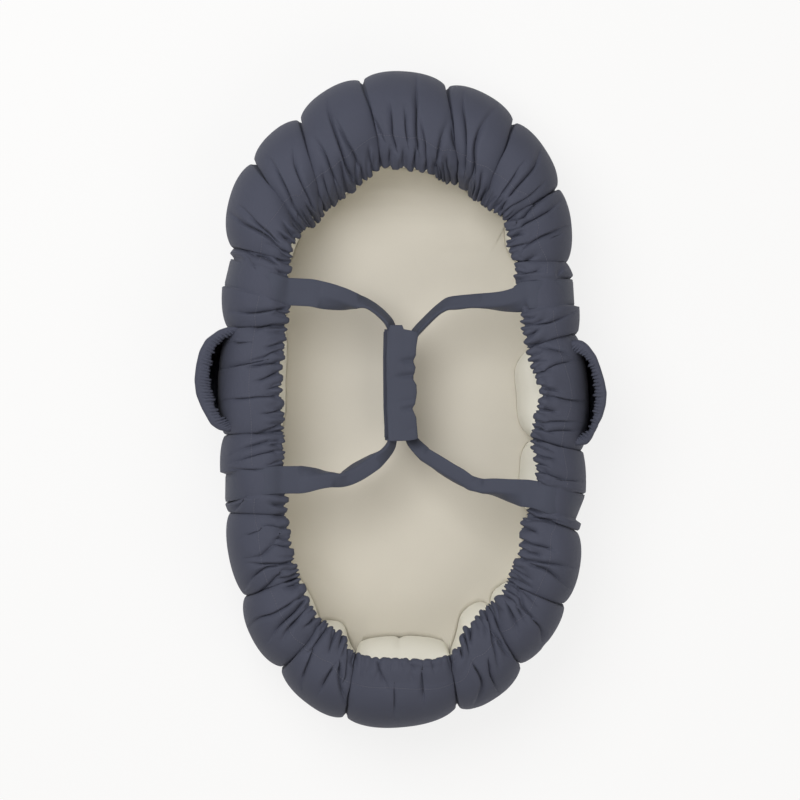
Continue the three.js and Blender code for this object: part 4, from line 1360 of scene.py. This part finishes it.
# The grip in pixels: its sides as (y, x), and its ends as (x, y)
GRIP_LEFT = ((324, 383.6), (357, 382.9), (407, 383.3), (441, 384.9))
GRIP_RIGHT = ((324, 417.5), (333, 418.6), (347.6, 416.3), (355.6, 416), (361, 413), (367, 415.7),
              (373, 414.7), (377.7, 412.4), (385, 416.6), (393, 417), (403.8, 415.3),
              (408.5, 412.4), (417.2, 416.3), (441, 418.3))
SLEEVE_TOP = ((383, 331.5), (389, 331), (403, 331), (420, 333))
FLAP_TOP = ((383, 331.3), (388.6, 330.6), (390.2, 325), (402.2, 325), (403.8, 329), (412, 330.6),
            (420, 333))
GRIP_BOTTOM = ((384, 440), (390.2, 441.3), (409.6, 440.7), (420, 438.7))
# Creases that run in from the right side: pixel y, the pixel x where they end, depth
GRIP_CREASES = ((361.8, 396, 4.0 * MM), (377.8, 389, 4.5 * MM), (402, 392, 1.6 * MM),
                (409.5, 398, 4.0 * MM), (430, 405, 0.8 * MM))
CREASE_RIGHT = 414  # the pixel x where they come in
CREASE_HALF_LENGTH = 3.4 * MM
CREASE_SLANT = 0.12
CREASE_GROWTH = 0.7  # share of their length over which they deepen
CREASE_POWER = 1.4
SIDE_DROP = 1.6 * MM
SIDE_POWER = 4
RIPPLE = 0.5 * MM
RIPPLE_TURNS = (60, 130)  # across and along the grip, in radians per metre


def grip_line(table, axis, at):
    """A side or an end of the grip at places across it, from pixels"""
    places = photo_places([pair if axis == 0 else pair[::-1] for pair in table], RIM_HEIGHT)
    order = np.argsort(places[:, axis])
    return np.interp(at, places[order, axis], places[order, 1 - axis])


def grip_relief(x, y):
    """How much lower the cloth lies where it is creased and towards its sides"""
    depth = np.zeros_like(x)
    right = photo_place((CREASE_RIGHT, 0), RIM_HEIGHT)[0]
    for y_pixel, x_pixel, deep in GRIP_CREASES:
        end, place = photo_place((x_pixel, y_pixel), RIM_HEIGHT)
        gap = np.abs(y - place - CREASE_SLANT * (x - end)) / CREASE_HALF_LENGTH
        depth += deep * smooth(x, end, mix(end, right, CREASE_GROWTH)) * np.exp(-(gap**CREASE_POWER))
    middle, half = (GRIP_LOW[0] + GRIP_HIGH[0]) / 2, (GRIP_HIGH[0] - GRIP_LOW[0]) / 2
    depth += SIDE_DROP * np.clip(np.abs(x - middle) / half, 0, 1) ** SIDE_POWER
    return depth + RIPPLE * np.sin(y * RIPPLE_TURNS[1] + x * RIPPLE_TURNS[0])


def rounded(corners, radius):
    """A closed outline with its corners rounded, as evenly spaced points"""
    result = []
    corners = np.array(corners)
    for before, corner, after in zip(np.roll(corners, 1, 0), corners, np.roll(corners, -1, 0)):
        ways = before - corner, after - corner
        reach = min(radius, *(np.linalg.norm(way) / CORNER_LIMIT for way in ways))
        start, end = (corner + unit(way) * reach for way in ways)
        for t in np.linspace(0, 1, CORNER_SAMPLES):
            result.append((1 - t) ** 2 * start + 2 * t * (1 - t) * corner + t**2 * end)
    return respaced(np.array([*result, result[0]]), SLEEVE_POINTS + 1)[:-1]


def grip_rings(outline, top_end):
    """The outline pushed along the grip, fitted to its sides and ends, and creased on top"""
    rings = []
    left, right = GRIP_LOW[0], GRIP_HIGH[0]
    upper = smooth(outline[:, 1], GRIP_LOW[2], GRIP_HIGH[2])
    for share in np.linspace(0, 1, GRIP_COUNT):
        y = mix(GRIP_LOW[1], GRIP_HIGH[1], share)
        for _ in range(2):
            here_left, here_right = grip_line(GRIP_LEFT, 1, y), grip_line(GRIP_RIGHT, 1, y)
            x = mix(here_left, here_right, (outline[:, 0] - left) / (right - left))
            y = mix(grip_line(GRIP_BOTTOM, 0, x), grip_line(top_end, 0, x), share)
        rings.append(np.stack([x, y, outline[:, 1] - upper * grip_relief(x, y)], axis=1))
    return np.array(rings)


def flap_outline():
    """A flat rounded outline whose points face each other across its height"""
    left, right = FLAP_LOW[0] + FLAP_LIP, FLAP_HIGH[0]
    low, high = FLAP_LOW[2], FLAP_HIGH[2] + FLAP_SWELL
    turns = np.linspace(0, np.pi, FLAP_SAMPLES)
    flat, upright = FLAP_ROUNDNESS
    across = (left + right) / 2 + (right - left) / 2 * signed_power(np.cos(turns), flat)
    height = (low + high) / 2 + (high - low) / 2 * np.sin(turns) ** upright
    upper = respaced(np.stack([across, height], axis=1), FLAP_POINTS)
    lower = upper[-2:0:-1] * [1, -1] + [0, low + high]
    return np.concatenate([upper, lower])


def make_flap():
    rings = grip_rings(flap_outline(), FLAP_TOP)
    columns, rows = rings.shape[:2]
    faces = grid_faces(columns, rows, closed_rows=True)
    for k in range(FLAP_POINTS - 1):
        near = list(dict.fromkeys((k, k + 1, (rows - k - 1) % rows, (rows - k) % rows)))
        faces.append(near)
        faces.append([(columns - 1) * rows + n for n in reversed(near)])
    flap = add_piece("grip_sleeve_flap", rings, faces, materials.strap, grid_uvs(rings))
    bend_piece(flap, ["grip_flap"])


def make_grip():
    left, right = GRIP_LOW[0], GRIP_HIGH[0]
    foot, top = GRIP_LOW[2], GRIP_HIGH[2]
    ledge_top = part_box("grip_loop_strip")[0].z - STRIP_SEAT
    wall = GRIP_WALL
    outline = rounded([
        (left + GRIP_LEDGE, ledge_top), (left, ledge_top), (left, foot), (right, foot), (right, top),
        (right - wall, top), (right - wall, foot + wall), (left + wall, foot + wall),
        (left + wall, ledge_top - wall), (left + GRIP_LEDGE, ledge_top - wall),
    ], GRIP_ROUNDING)
    wrap = tube_piece("grip_sleeve", grip_rings(outline, SLEEVE_TOP), materials.strap)
    finish_piece(wrap, "grip", ["grip_wrap"])
    make_flap()


# Stage


FRAME_WIDTH = 1.0  # metres that the photograph spans at the height of the outline
SENSOR = 36.0
WHITE = (1, 1, 1, 1)
AMBIENT = (0.34, 0.32, 0.29)
FLOOR_GREY = (0.86, 0.86, 0.86, 1)
FLOOR_WHITE_SHARE = 0.8  # of plain white in what the camera sees of the floor
FLOOR_HALF_SIZE = 60.0
LAMP_SIZE = 2.0
LAMP_TARGET = (0, 0, 0.1)
# Each lamp: its name, place, power and colour
LAMPS = (
    ("key", (-0.8, 0.9, 2.5), 46, (1.0, 1.0, 1.0)),
    ("fill", (1.2, -1.2, 2.4), 17, (1.0, 0.96, 0.89)),
)


def make_floor():
    material, nodes, shader = new_material(
        "pale_floor", Base_Color=FLOOR_GREY, Roughness=0.9, Specular_IOR_Level=0.1)
    white = nodes.add("ShaderNodeEmission", Color=WHITE, Strength=1.0)
    blend = nodes.add("ShaderNodeMixShader")
    nodes.link(nodes.math("MULTIPLY", nodes.seen(), FLOOR_WHITE_SHARE), blend.inputs[0])
    nodes.link(shader.outputs[0], blend.inputs[1])
    nodes.link(white.outputs[0], blend.inputs[2])
    nodes.link(blend.outputs[0], nodes.tree.nodes["Material Output"].inputs["Surface"])
    corners = np.array([[-1, -1, 0], [1, -1, 0], [1, 1, 0], [-1, 1, 0]]) * FLOOR_HALF_SIZE
    add_piece("floor", corners, [[0, 1, 2, 3]], material)


def add_object(name, data, place):
    item = bpy.data.objects.new(name, data)
    item.location = place
    bpy.context.scene.collection.objects.link(item)
    return item


def make_lights():
    for name, place, power, colour in LAMPS:
        light = bpy.data.lights.new(name, "AREA")
        light.color = colour
        light.shape = "DISK"
        light.size = LAMP_SIZE
        light.energy = power
        way = Vector(LAMP_TARGET) - Vector(place)
        add_object(name, light, place).rotation_euler = way.to_track_quat("-Z", "Y").to_euler()
    world = bpy.data.worlds.new("studio")
    bpy.context.scene.world = world
    world.use_nodes = True
    nodes = Nodes(world.node_tree)
    colour = nodes.add("ShaderNodeMixRGB", Color1=(*AMBIENT, 1), Color2=WHITE)
    nodes.link(nodes.seen(), colour.inputs["Fac"])
    nodes.link(colour.outputs["Color"], nodes.tree.nodes["Background"].inputs["Color"])


def make_camera():
    camera = bpy.data.cameras.new("camera")
    camera.sensor_width = SENSOR
    camera.lens = SENSOR * (CAMERA_HEIGHT - OUTLINE_HEIGHT) / FRAME_WIDTH
    place = (*photo_place(CAMERA_PIXEL), CAMERA_HEIGHT)
    bpy.context.scene.camera = add_object("camera", camera, place)


def set_materials():
    """Finishes for the nodes that stay as they are"""
    for name, material in (
        ("base_board", materials.board), ("insert_floor", materials.cream),
        ("grip_loop_strip", materials.fastener), ("grip_hook_strip", materials.fastener),
    ):
        for holder in frame["nodes"][name].material_slots:
            holder.material = material


make_camera()
make_cover()
make_stitching()
make_rim()
make_lobes()
make_mattress()
make_base()
for pocket_side, pocket_lobe in POCKET_LOBES.items():
    pocket = pocket_mouth(pocket_side)
    make_hem(pocket_side, pocket_lobe, pocket, make_pouch(pocket_side, pocket_lobe, pocket))
make_strap("left", LEFT_LEGS, LEFT_LIFT, LEFT_RUN, (1, 1))
make_strap("right", RIGHT_LEGS, RIGHT_LIFT, RIGHT_RUN, (1, -1))
make_grip()
set_materials()
make_floor()
make_lights()

scene = bpy.context.scene
scene.view_settings.view_transform = "Standard"
